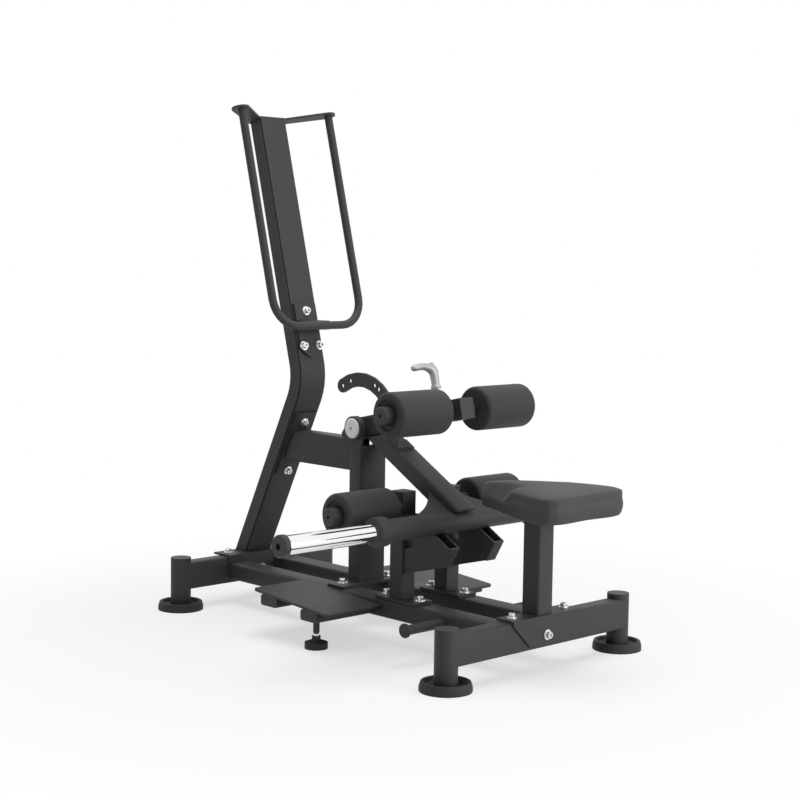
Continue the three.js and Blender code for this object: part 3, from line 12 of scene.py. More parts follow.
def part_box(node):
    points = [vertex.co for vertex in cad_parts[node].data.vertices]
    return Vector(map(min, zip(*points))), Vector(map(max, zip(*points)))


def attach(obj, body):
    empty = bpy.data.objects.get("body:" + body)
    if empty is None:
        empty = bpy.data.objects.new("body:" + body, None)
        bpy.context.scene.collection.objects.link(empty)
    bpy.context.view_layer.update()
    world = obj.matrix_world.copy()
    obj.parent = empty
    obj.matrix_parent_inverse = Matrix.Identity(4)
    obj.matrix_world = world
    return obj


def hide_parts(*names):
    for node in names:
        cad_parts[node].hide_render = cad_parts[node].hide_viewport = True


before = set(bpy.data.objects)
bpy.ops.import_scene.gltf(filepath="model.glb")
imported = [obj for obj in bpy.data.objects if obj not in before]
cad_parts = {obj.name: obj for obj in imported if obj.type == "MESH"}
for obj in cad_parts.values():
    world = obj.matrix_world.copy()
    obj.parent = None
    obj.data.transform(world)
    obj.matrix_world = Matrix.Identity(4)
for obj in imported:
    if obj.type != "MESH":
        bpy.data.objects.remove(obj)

bl_info = {
    "name": "Standing hip thrust machine",
    "version": (1, 0, 0),
    "blender": (4, 5, 0),
    "location": "View3D > Sidebar > Hip thrust",
    "description": "Finishes, foam, fasteners and stage for the packed hip thrust machine",
    "category": "Object",
}

MM = 0.001
SIDES = (("left", -1), ("right", 1))
WHITE = (1.0, 1.0, 1.0, 1.0)
SENSOR_WIDTH = 36.0

# Sockets of a Mix node that is set to colours
MIX_FACTOR = 0
MIX_FIRST = 6
MIX_SECOND = 7
MIX_RESULT = 2


# Boxes of CAD nodes
def low(node):
    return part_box(node)[0]


def high(node):
    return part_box(node)[1]


def middle(node):
    lowest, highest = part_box(node)
    return (lowest + highest) / 2


def settings():
    return bpy.context.scene.hip_thrust


# Sizes and colours that a user would change
class FinishSettings(bpy.types.PropertyGroup):
    paint_colour: FloatVectorProperty(
        name="Paint colour", description="Black powder coat of the steel work",
        default=(0.048, 0.048, 0.0495), subtype="COLOR", min=0, max=1)
    paint_roughness: FloatProperty(
        name="Paint roughness", description="Roughness of the powder coat", default=0.5, min=0, max=1)
    paint_grain: FloatProperty(
        name="Paint grain", description="Size of the powder coat's orange peel",
        default=1.1 * MM, unit="LENGTH", min=0.1 * MM, max=10 * MM)
    foam_colour: FloatVectorProperty(
        name="Foam colour", description="Skin of the foam rollers",
        default=(0.036, 0.036, 0.037), subtype="COLOR", min=0, max=1)
    foam_roughness: FloatProperty(
        name="Foam roughness", description="Roughness of the foam skin", default=0.62, min=0, max=1)
    vinyl_colour: FloatVectorProperty(
        name="Vinyl colour", description="Cover of the saddle pad",
        default=(0.042, 0.042, 0.0435), subtype="COLOR", min=0, max=1)
    rubber_colour: FloatVectorProperty(
        name="Rubber colour", description="Floor cups and levelling feet",
        default=(0.032, 0.032, 0.032), subtype="COLOR", min=0, max=1)
    plastic_colour: FloatVectorProperty(
        name="Plastic colour", description="Hubs, end caps and the dark of the levelling studs",
        default=(0.04, 0.04, 0.041), subtype="COLOR", min=0, max=1)
    cap_colour: FloatVectorProperty(
        name="Cap colour", description="White plastic of the pivot caps",
        default=(0.88, 0.88, 0.87), subtype="COLOR", min=0, max=1)
    mark_colour: FloatVectorProperty(
        name="Mark colour", description="Centre marks of the pivot caps",
        default=(0.3, 0.3, 0.3), subtype="COLOR", min=0, max=1)
    chrome_colour: FloatVectorProperty(
        name="Chrome colour", description="Chrome of the plate sleeves",
        default=(0.92, 0.92, 0.93), subtype="COLOR", min=0, max=1)
    zinc_colour: FloatVectorProperty(
        name="Zinc colour", description="Zinc plate of the screws, pull pin and pivot shaft",
        default=(0.72, 0.73, 0.74), subtype="COLOR", min=0, max=1)
    aluminium_colour: FloatVectorProperty(
        name="Aluminium colour", description="Cast clamp lever",
        default=(0.4, 0.405, 0.41), subtype="COLOR", min=0, max=1)
    thread_colour: FloatVectorProperty(
        name="Thread colour", description="Bright thread just above a levelling foot",
        default=(0.74, 0.75, 0.76), subtype="COLOR", min=0, max=1)
    thread_height: FloatProperty(
        name="Thread height", description="Height of the bright thread above a levelling foot",
        default=6 * MM, unit="LENGTH")
    sharp_angle: FloatProperty(
        name="Sharp angle", description="Edges steeper than this stay sharp in shading",
        default=math.radians(34), subtype="ANGLE")


class ScrewSettings(bpy.types.PropertyGroup):
    head_diameter: FloatProperty(
        name="Head diameter", description="Diameter of the screw heads",
        default=18 * MM, unit="LENGTH")
    head_height: FloatProperty(
        name="Head height", description="Height of the screw heads",
        default=11 * MM, unit="LENGTH")
    socket_diameter: FloatProperty(
        name="Socket size", description="Width over the corners of the hexagon socket",
        default=10.5 * MM, unit="LENGTH")
    washer_diameter: FloatProperty(
        name="Washer diameter", description="Diameter of the washers",
        default=27 * MM, unit="LENGTH")
    washer_thickness: FloatProperty(
        name="Washer thickness", description="Thickness of the washers",
        default=2.4 * MM, unit="LENGTH")
    saddle_reach: FloatProperty(
        name="Saddle reach", description="Sideways distance of the screws on the two saddle plates",
        default=100 * MM, unit="LENGTH")
    catch_reach: FloatProperty(
        name="Catch reach", description="Distance of the screws before and behind the lower rollers' axles",
        default=66 * MM, unit="LENGTH")
    flange_thickness: FloatProperty(
        name="Flange thickness", description="Thickness of the flanges on the rails",
        default=8 * MM, unit="LENGTH")


class RollerSettings(bpy.types.PropertyGroup):
    facets: IntProperty(
        name="Facets", description="Facets round a foam roller", default=112, min=24)
    edge_radius: FloatProperty(
        name="Edge radius", description="Rounding of the foam's edges",
        default=11 * MM, unit="LENGTH")
    recess_radius: FloatProperty(
        name="Recess radius", description="Radius of the dish in the outer end",
        default=40 * MM, unit="LENGTH")
    recess_depth: FloatProperty(
        name="Recess depth", description="Depth of the dish in the outer end",
        default=7 * MM, unit="LENGTH")
    bore_gap: FloatProperty(
        name="Bore gap", description="Gap between the foam and its hub",
        default=0.2 * MM, unit="LENGTH")


class PadSettings(bpy.types.PropertyGroup):
    voxel: FloatProperty(
        name="Voxel", description="Grid of the cushion's remesh",
        default=4.5 * MM, unit="LENGTH")
    start_inset: FloatProperty(
        name="Start inset", description="How far the cushion starts inside its solid",
        default=1.2 * MM, unit="LENGTH")
    swell_cap: FloatProperty(
        name="Swell cap", description="Most that a point may move while it swells",
        default=1.6 * MM, unit="LENGTH")
    swell_pressure: FloatProperty(
        name="Swell pressure", description="Pressure inside the cushion while it swells", default=4.0)
    swell_frames: IntProperty(
        name="Swell frames", description="Frames for which the cushion swells", default=20, min=1)
    ridge_half: FloatProperty(
        name="Ridge half width", description="Half width of the ridge at the nose",
        default=10 * MM, unit="LENGTH")
    ridge_widening: FloatProperty(
        name="Ridge widening", description="How much wider each side of the ridge is at the scoops' far end",
        default=48 * MM, unit="LENGTH")
    edge_half: FloatProperty(
        name="Edge half width", description="Half width of the pad at the nose",
        default=54 * MM, unit="LENGTH")
    edge_widening: FloatProperty(
        name="Edge widening", description="How much wider each side of the pad is at the scoops' far end",
        default=68 * MM, unit="LENGTH")
    scoop_length: FloatProperty(
        name="Scoop length", description="Length of the scoops from the nose",
        default=215 * MM, unit="LENGTH")
    scoop_depth: FloatProperty(
        name="Scoop depth", description="Depth of the scoops",
        default=38 * MM, unit="LENGTH")
    nose_sag: FloatProperty(
        name="Nose sag", description="Fall of the ridge towards the nose",
        default=7 * MM, unit="LENGTH")


class LeverSettings(bpy.types.PropertyGroup):
    yoke_lean: FloatProperty(
        name="Yoke lean", description="Rise of the yoke towards the front",
        default=math.radians(12.3), subtype="ANGLE")
    yoke_half_height: FloatProperty(
        name="Yoke half height", description="Half the height of the yoke sleeve",
        default=30 * MM, unit="LENGTH")
    place: FloatProperty(
        name="Place", description="Distance of the lever from the main pivot",
        default=292 * MM, unit="LENGTH")
    screw_shift: FloatProperty(
        name="Screw shift", description="How far the small screw on the elbow stands to the user's left",
        default=4 * MM, unit="LENGTH")


class StageSettings(bpy.types.PropertyGroup):
    lens: FloatProperty(
        name="Lens", description="Focal length on a 36 mm sensor", default=73.94)
    camera_place: FloatVectorProperty(
        name="Camera place", description="Place of the photograph's camera",
        default=(-3.144, -3.287, 1.0712), subtype="TRANSLATION")
    camera_yaw: FloatProperty(
        name="Camera yaw", description="Turn of the view from +Y towards +X",
        default=math.radians(43.75), subtype="ANGLE")
    camera_pitch: FloatProperty(
        name="Camera pitch", description="Dip of the view below level",
        default=math.radians(5.2), subtype="ANGLE")
    camera_roll: FloatProperty(
        name="Camera roll", description="Roll of the camera",
        default=math.radians(0.862), subtype="ANGLE")
    overhead_place: FloatVectorProperty(
        name="Overhead place", description="Place of the overhead softbox",
        default=(0.2, -0.4, 6.5), subtype="TRANSLATION")
    overhead_size: FloatProperty(
        name="Overhead size", description="Side of the overhead softbox",
        default=5.0, unit="LENGTH")
    overhead_power: FloatProperty(
        name="Overhead power", description="Watts of the overhead softbox", default=310)
    front_place: FloatVectorProperty(
        name="Front place", description="Place of the softbox in front",
        default=(2.4, -6.4, 1.4), subtype="TRANSLATION")
    front_size: FloatProperty(
        name="Front size", description="Side of the softbox in front",
        default=3.6, unit="LENGTH")
    front_power: FloatProperty(
        name="Front power", description="Watts of the softbox in front", default=260)
    aim_height: FloatProperty(
        name="Aim height", description="Height above the floor's middle at which the lamps point",
        default=0.5, unit="LENGTH")
    ambient: FloatProperty(
        name="Ambient", description="Strength of the world's light", default=0.2)
    floor_reach: FloatProperty(
        name="Floor reach", description="Distance from the middle to the floor's edges",
        default=40.0, unit="LENGTH")
    floor_colour: FloatVectorProperty(
        name="Floor colour", description="Colour of the studio floor",
        default=(0.92, 0.92, 0.92), subtype="COLOR", min=0, max=1)
    floor_glow: FloatProperty(
        name="Floor whiteness", description="Share of plain white seen in the floor near the machine",
        default=0.6, min=0, max=1)
    glow_start: FloatProperty(
        name="Whitening start", description="Distance from the middle at which the floor starts to whiten",
        default=0.6, unit="LENGTH")
    glow_end: FloatProperty(
        name="Whitening end", description="Distance from the middle at which the floor is seen plain white",
        default=1.6, unit="LENGTH")


class HipThrustSettings(bpy.types.PropertyGroup):
    finish: PointerProperty(type=FinishSettings)
    screws: PointerProperty(type=ScrewSettings)
    rollers: PointerProperty(type=RollerSettings)
    pad: PointerProperty(type=PadSettings)
    lever: PointerProperty(type=LeverSettings)
    stage: PointerProperty(type=StageSettings)


# Node trees of the finishes
def add_node(tree, kind, values=None, **attributes):
    node = tree.nodes.new(kind)
    for key, value in attributes.items():
        setattr(node, key, value)
    for key, value in (values or {}).items():
        node.inputs[key].default_value = value
    return node


def combined(tree, operation, first, second):
    node = add_node(tree, "ShaderNodeMath", operation=operation)
    tree.links.new(first, node.inputs[0])
    tree.links.new(second, node.inputs[1])
    return node.outputs[0]


def rgba(colour):
    return (colour[0], colour[1], colour[2], 1.0)


def shaded(colour, share):
    return tuple(min(1.0, channel * share) for channel in colour)


def new_finish(name, metallic=0.0, **sockets):
    material = bpy.data.materials.new(name)
    material.use_nodes = True
    tree = material.node_tree
    tree.nodes.clear()
    output = add_node(tree, "ShaderNodeOutputMaterial")
    shader = add_node(tree, "ShaderNodeBsdfPrincipled", {"Metallic": metallic})
    for key, value in sockets.items():
        shader.inputs[key.replace("_", " ")].default_value = value
    tree.links.new(shader.outputs["BSDF"], output.inputs["Surface"])
    return tree, shader


def object_noise(tree, grain, detail=2.0, stretch=(1.0, 1.0, 1.0)):
    place = add_node(tree, "ShaderNodeTexCoord")
    mapping = add_node(tree, "ShaderNodeMapping", {"Scale": stretch})
    noise = add_node(tree, "ShaderNodeTexNoise", {"Scale": 1.0 / grain, "Detail": detail})
    tree.links.new(place.outputs["Object"], mapping.inputs["Vector"])
    tree.links.new(mapping.outputs["Vector"], noise.inputs["Vector"])
    return noise.outputs["Fac"]


def object_cells(tree, cells_per_metre, feature):
    place = add_node(tree, "ShaderNodeTexCoord")
    cells = add_node(tree, "ShaderNodeTexVoronoi", {"Scale": cells_per_metre}, feature=feature)
    tree.links.new(place.outputs["Object"], cells.inputs["Vector"])
    return cells.outputs["Distance"]


def mix_colours(tree, shader, fac, first, second):
    mix = add_node(tree, "ShaderNodeMix", data_type="RGBA")
    mix.inputs[MIX_FIRST].default_value = rgba(first)
    mix.inputs[MIX_SECOND].default_value = rgba(second)
    tree.links.new(fac, mix.inputs[MIX_FACTOR])
    tree.links.new(mix.outputs[MIX_RESULT], shader.inputs["Base Color"])


def vary_colour(tree, shader, colour, spread, patch):
    fac = object_noise(tree, patch, detail=3.0)
    mix_colours(tree, shader, fac, shaded(colour, 1.0 - spread), shaded(colour, 1.0 + spread))


def vary_roughness(tree, shader, fac, start, end):
    """Roughness that runs from start, where fac is 0, to end, where it is 1."""
    spread = add_node(tree, "ShaderNodeMapRange", {"To Min": start, "To Max": end})
    tree.links.new(fac, spread.inputs["Value"])
    tree.links.new(spread.outputs["Result"], shader.inputs["Roughness"])


def add_bump(tree, shader, height, strength, distance):
    bump = add_node(tree, "ShaderNodeBump", {"Strength": strength, "Distance": distance})
    tree.links.new(height, bump.inputs["Height"])
    tree.links.new(bump.outputs["Normal"], shader.inputs["Normal"])


def powder_coat(name, colour, roughness, grain):
    tree, shader = new_finish(name, Specular_IOR_Level=0.2)
    vary_colour(tree, shader, colour, spread=0.07, patch=160 * MM)
    fac = object_noise(tree, grain)
    vary_roughness(tree, shader, fac, roughness - 0.06, roughness + 0.08)
    add_bump(tree, shader, fac, strength=0.2, distance=0.1 * MM)


def foam_skin(name, colour, roughness):
    tree, shader = new_finish(name, Specular_IOR_Level=0.22, Sheen_Weight=0.04, Sheen_Roughness=0.6)
    vary_colour(tree, shader, colour, spread=0.1, patch=50 * MM)
    cells = object_cells(tree, cells_per_metre=900.0, feature="SMOOTH_F1")
    vary_roughness(tree, shader, cells, roughness - 0.05, roughness + 0.12)
    add_bump(tree, shader, cells, strength=0.25, distance=0.25 * MM)


def grained_vinyl(name, colour):
    tree, shader = new_finish(name, Specular_IOR_Level=0.35)
    vary_colour(tree, shader, colour, spread=0.06, patch=70 * MM)
    grains = object_cells(tree, cells_per_metre=620.0, feature="DISTANCE_TO_EDGE")
    vary_roughness(tree, shader, grains, start=0.62, end=0.46)
    add_bump(tree, shader, grains, strength=0.35, distance=0.3 * MM)


def moulded(name, colour, roughness, grain, bump):
    tree, shader = new_finish(name, Specular_IOR_Level=0.25)
    vary_colour(tree, shader, colour, spread=0.06, patch=30 * MM)
    fac = object_noise(tree, grain)
    vary_roughness(tree, shader, fac, roughness - 0.05, roughness + 0.08)
    add_bump(tree, shader, fac, strength=bump, distance=0.1 * MM)


def metal(name, colour, roughness, spread, grain, stretch=(1.0, 1.0, 1.0), metallic=1.0):
    tree, shader = new_finish(name, metallic=metallic)
    vary_colour(tree, shader, colour, spread=0.03, patch=40 * MM)
    fac = object_noise(tree, grain, stretch=stretch)
    vary_roughness(tree, shader, fac, roughness - spread, roughness + spread)
    add_bump(tree, shader, fac, strength=0.04, distance=0.05 * MM)


def two_tone_stud(name, dark, bright, bright_top):
    """Blackened metal that is bright below a height, as the thread above a levelling foot."""
    tree, shader = new_finish(name, metallic=1.0)
    place = add_node(tree, "ShaderNodeTexCoord")
    parts = add_node(tree, "ShaderNodeSeparateXYZ")
    above = add_node(tree, "ShaderNodeMath", {1: bright_top}, operation="GREATER_THAN")
    tree.links.new(place.outputs["Object"], parts.inputs["Vector"])
    tree.links.new(parts.outputs["Z"], above.inputs[0])
    mix_colours(tree, shader, above.outputs[0], bright, dark)
    vary_roughness(tree, shader, object_noise(tree, 1.2 * MM), start=0.3, end=0.5)


def make_finishes():
    finish = settings().finish
    bright_top = high("leveller_foot_left").z + finish.thread_height
    powder_coat("powder coat", finish.paint_colour, finish.paint_roughness, finish.paint_grain)
    foam_skin("foam skin", finish.foam_colour, finish.foam_roughness)
    grained_vinyl("saddle vinyl", finish.vinyl_colour)
    moulded("floor rubber", finish.rubber_colour, roughness=0.62, grain=0.7 * MM, bump=0.3)
    moulded("hub plastic", finish.plastic_colour, roughness=0.45, grain=0.5 * MM, bump=0.15)
    moulded("white cap plastic", finish.cap_colour, roughness=0.35, grain=0.5 * MM, bump=0.08)
    moulded("grey mark", finish.mark_colour, roughness=0.5, grain=0.5 * MM, bump=0.1)
    two_tone_stud("blackened stud", finish.plastic_colour, finish.thread_colour, bright_top)
    metal(
        "polished chrome", finish.chrome_colour, roughness=0.07, spread=0.03, grain=3 * MM,
        stretch=(0.1, 1.0, 1.0))
    metal("zinc plate", finish.zinc_colour, roughness=0.28, spread=0.08, grain=1.2 * MM)
    metal(
        "cast aluminium", finish.aluminium_colour, roughness=0.5, spread=0.08, grain=0.9 * MM,
        metallic=0.45)


FINISH_OF_SLOT = {
    "black_paint": "powder coat",
    "black_rubber": "floor rubber",
    "black_plastic": "hub plastic",
    "white_plastic": "white cap plastic",
    "chrome_steel": "polished chrome",
    "zinc_steel": "zinc plate",
    "black_foam": "foam skin",
    "black_vinyl": "saddle vinyl",
    "cast_aluminium": "cast aluminium",
}


def finish_named(name):
    return bpy.data.materials[name]


# Smooth shading of the CAD nodes, by a Geometry Nodes modifier
def input_socket(tree, name, kind, value=None):
    socket = tree.interface.new_socket(name=name, in_out="INPUT", socket_type=kind)
    if value is not None:
        socket.default_value = value
    return socket


def smoothing_tree():
    tree = bpy.data.node_groups.new("shade smooth by angle", "GeometryNodeTree")
    input_socket(tree, "Geometry", "NodeSocketGeometry")
    input_socket(tree, "Merge distance", "NodeSocketFloat", 0.02 * MM)
    input_socket(tree, "Sharp angle", "NodeSocketFloat", settings().finish.sharp_angle)
    tree.interface.new_socket(name="Geometry", in_out="OUTPUT", socket_type="NodeSocketGeometry")
    source = add_node(tree, "NodeGroupInput")
    sink = add_node(tree, "NodeGroupOutput")
    merge = add_node(tree, "GeometryNodeMergeByDistance")
    faces = add_node(tree, "GeometryNodeSetShadeSmooth", {"Shade Smooth": True}, domain="FACE")
    edges = add_node(tree, "GeometryNodeSetShadeSmooth", domain="EDGE")
    angle = add_node(tree, "GeometryNodeInputMeshEdgeAngle")
    soft = add_node(tree, "FunctionNodeCompare", data_type="FLOAT", operation="LESS_THAN")
    tree.links.new(source.outputs["Geometry"], merge.inputs["Geometry"])
    tree.links.new(source.outputs["Merge distance"], merge.inputs["Distance"])
    tree.links.new(merge.outputs["Geometry"], faces.inputs["Geometry"])
    tree.links.new(faces.outputs["Geometry"], edges.inputs["Geometry"])
    tree.links.new(angle.outputs["Unsigned Angle"], soft.inputs["A"])
    tree.links.new(source.outputs["Sharp angle"], soft.inputs["B"])
    tree.links.new(soft.outputs["Result"], edges.inputs["Shade Smooth"])
    tree.links.new(edges.outputs["Geometry"], sink.inputs["Geometry"])
    return tree


def slot_of_node(node):
    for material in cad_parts[node].data.materials:
        for slot in FINISH_OF_SLOT:
            if material and material.name.startswith(slot):
                return slot
    raise RuntimeError(f"{node}: no finish is known for its material")


# Meshes of new pieces
def mesh_piece(name, mesh, material):
    piece = bpy.data.objects.new(name, mesh)
    bpy.context.scene.collection.objects.link(piece)
    piece.data.materials.clear()
    piece.data.materials.append(material)
    return piece


def lathe_mesh(name, profile, centre, axis, facets):
    """A closed shape turned about axis through centre; profile is (radius, along) from pole to pole."""
    mesh = bpy.data.meshes.new(name)
    work = bmesh.new()
    turn = axis.to_track_quat("Z", "X").to_matrix()
    rings = []
    for radius, along in profile:
        if radius <= 0:
            rings.append([work.verts.new(centre + turn @ Vector((0, 0, along)))])
            continue
        ring = []
        for step in range(facets):
            angle = 2 * math.pi * step / facets
            local = Vector((radius * math.cos(angle), radius * math.sin(angle), along))
            ring.append(work.verts.new(centre + turn @ local))
        rings.append(ring)
    for lower, upper in zip(rings, rings[1:]):
        for step in range(facets):
            after = (step + 1) % facets
            if len(lower) == 1 and len(upper) == 1:
                continue
            if len(lower) == 1:
                work.faces.new((lower[0], upper[after], upper[step]))
            elif len(upper) == 1:
                work.faces.new((lower[step], lower[after], upper[0]))
            else:
                work.faces.new((lower[step], lower[after], upper[after], upper[step]))
    bmesh.ops.recalc_face_normals(work, faces=work.faces)
    for face in work.faces:
        face.smooth = True
    work.to_mesh(mesh)
    work.free()
    return mesh


def arc(centre_radius, centre_along, radius, start, end, steps):
    """Points of an arc in a lathe's profile, from start to end in degrees."""
    points = []
    for step in range(steps + 1):
        angle = math.radians(start + (end - start) * step / steps)
        points.append((centre_radius + radius * math.cos(angle), centre_along + radius * math.sin(angle)))
    return points


def closed_lathe(name, profile, centre, axis, facets):
    """A ring shape: the profile's last point joins its first."""
    return lathe_mesh(name, profile + profile[:1], centre, axis, facets)


def profile_in_mm(profile):
    return [(radius * MM, along * MM) for radius, along in profile]


def keep_edges_sharp(piece):
    """Keeps edges sharp where the faces meet at more than the sharp angle."""
    piece.data.set_sharp_from_angle(angle=settings().finish.sharp_angle)


# Operators, one for each piece or group of like pieces
class HIPTHRUST_OT_paint_frame(bpy.types.Operator):
    """Gives every CAD node its finish and its smooth shading"""
    bl_idname = "hip_thrust.paint_frame"
    bl_label = "Paint the frame"

    def execute(self, context):
        make_finishes()
        tree = smoothing_tree()
        for name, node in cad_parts.items():
            slot = slot_of_node(name)
            node.data.materials.clear()
            finish = "blackened stud" if name.startswith("leveller_stud") else FINISH_OF_SLOT[slot]
            node.data.materials.append(finish_named(finish))
            smoothing = node.modifiers.new("smooth shading", "NODES")
            smoothing.node_group = tree
        return {"FINISHED"}


def foam_profile(sizes, radius, length, bore):
    """Section of a foam roller from its inner end to its dished outer end."""
    edge = sizes.edge_radius
    edge_steps = 7
    lip = edge / 3
    lip_steps = 4
    dish_floor = length - sizes.recess_depth
    profile = [(bore, 0.0)]
    profile += arc(radius - edge, edge, edge, -90, 0, edge_steps)
    profile += arc(radius - edge, length - edge, edge, 0, 90, edge_steps)
    profile += arc(sizes.recess_radius + lip, length - lip, lip, 90, 180, lip_steps)
    profile += arc(sizes.recess_radius - lip, dish_floor + lip, lip, 0, -90, lip_steps)
    profile += [(bore, dish_floor)]
    return profile


class HIPTHRUST_OT_foam_rollers(bpy.types.Operator):
    """Turns the four foam rollers with rounded edges and a dished outer end"""
    bl_idname = "hip_thrust.foam_rollers"
    bl_label = "Foam rollers"

    def execute(self, context):
        for level in ("upper", "lower"):
            for side, sign in SIDES:
                self.make_foam(level, side, sign)
        return {"FINISHED"}

    def make_foam(self, level, side, sign):
        sizes = settings().rollers
        node = f"{level}_roller_foam_{side}"
        hub = f"{level}_roller_hub_{side}"
        lowest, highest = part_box(node)
        radius = (highest.z - lowest.z) / 2
        bore = (high(hub).z - low(hub).z) / 2 + sizes.bore_gap
        centre = middle(node)
        centre.x = lowest.x if sign > 0 else highest.x
        profile = foam_profile(sizes, radius, highest.x - lowest.x, bore)
        mesh = closed_lathe(node, profile, centre, Vector((sign, 0, 0)), sizes.facets)
        foam = mesh_piece(f"foam_{level}_{side}", mesh, finish_named("foam skin"))
        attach(foam, f"{level}_roller_{side}")
        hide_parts(node)


def merged_copy(node, name):
    copied = bpy.data.meshes.new(name)
    work = bmesh.new()
    work.from_mesh(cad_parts[node].data)
    bmesh.ops.remove_doubles(work, verts=work.verts, dist=0.01 * MM)
    bmesh.ops.recalc_face_normals(work, faces=work.faces)
    work.to_mesh(copied)
    work.free()
    return copied


def push_along_normals(mesh, distance):
    mesh.update()
    moved = [vertex.co + vertex.normal * distance for vertex in mesh.vertices]
    for vertex, place in zip(mesh.vertices, moved):
        vertex.co = place


def evaluated_mesh(piece, name):
    graph = bpy.context.evaluated_depsgraph_get()
    baked = bpy.data.meshes.new_from_object(piece.evaluated_get(graph))
    baked.name = name
    return baked


def swell(piece, sizes):
    """Cloth under pressure, with each point held to the swell cap from its start."""
    scene = bpy.context.scene
    start = [vertex.co.copy() for vertex in piece.data.vertices]
    cloth = piece.modifiers.new("swell", "CLOTH")
    cloth.settings.use_pressure = True
    cloth.settings.uniform_pressure_force = sizes.swell_pressure
    cloth.settings.effector_weights.gravity = 0.0
    cloth.settings.quality = 5
    cloth.point_cache.frame_start = 1
    cloth.point_cache.frame_end = sizes.swell_frames
    for number in range(1, sizes.swell_frames + 1):
        scene.frame_set(number)
    swollen = evaluated_mesh(piece, piece.name)
    scene.frame_set(1)
    piece.modifiers.remove(cloth)
    for vertex, place in zip(swollen.vertices, start):
        move = vertex.co - place
        if move.length > sizes.swell_cap:
            vertex.co = place + move * (sizes.swell_cap / move.length)
    piece.data = swollen


def smooth_share(value, start, end):
    share = min(1.0, max(0.0, (value - start) / (end - start)))
    return share * share * (3 - 2 * share)


def scoop_nose(mesh, sizes):
    """Lowers the top of the nose on both sides of its ridge, as thigh scoops."""
    flank_power = 0.7
    full_reach_share = 0.6
    still_height_share = 0.3
    full_height_share = 0.8
    mesh.update()
    lowest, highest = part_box("seat_pad")
    nose = highest.y
    height = highest.z - lowest.z
    for vertex in mesh.vertices:
        across = abs(vertex.co.x)
        back = nose - vertex.co.y
        along = max(0.0, back / sizes.scoop_length)
        ridge_half = sizes.ridge_half + sizes.ridge_widening * along
        edge_half = sizes.edge_half + sizes.edge_widening * along
        side = smooth_share(across, ridge_half, edge_half) ** flank_power
        reach = 1.0 - smooth_share(along, full_reach_share, 1.0)
        sag = 1.0 - smooth_share(back, 0.0, sizes.scoop_length)
        height_share = (vertex.co.z - lowest.z) / height
        rise = smooth_share(height_share, still_height_share, full_height_share)
        vertex.co.z -= rise * (sizes.scoop_depth * side * reach + sizes.nose_sag * sag)


class HIPTHRUST_OT_saddle_pad(bpy.types.Operator):
    """Swells the saddle pad as a vinyl covered cushion and scoops its nose"""
    bl_idname = "hip_thrust.saddle_pad"
    bl_label = "Saddle pad"

    def execute(self, context):
        sizes = settings().pad
        mesh = merged_copy("seat_pad", "saddle_pad")
        push_along_normals(mesh, -sizes.start_inset)
        pad = mesh_piece("saddle_pad", mesh, finish_named("saddle vinyl"))
        remesh = pad.modifiers.new("remesh", "REMESH")
        remesh.mode = "VOXEL"
        remesh.voxel_size = sizes.voxel
        baked = evaluated_mesh(pad, "saddle_pad")
        pad.modifiers.remove(remesh)
        pad.data = baked
        swell(pad, sizes)
        scoop_nose(pad.data, sizes)
        pad.data.polygons.foreach_set("use_smooth", [True] * len(pad.data.polygons))
        relax = pad.modifiers.new("relax", "SMOOTH")
        relax.factor = 0.5
        relax.iterations = 2
        finer = pad.modifiers.new("finer", "SUBSURF")
        finer.levels = 1
        finer.render_levels = 1
        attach(pad, "frame")
        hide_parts("seat_pad")
        return {"FINISHED"}


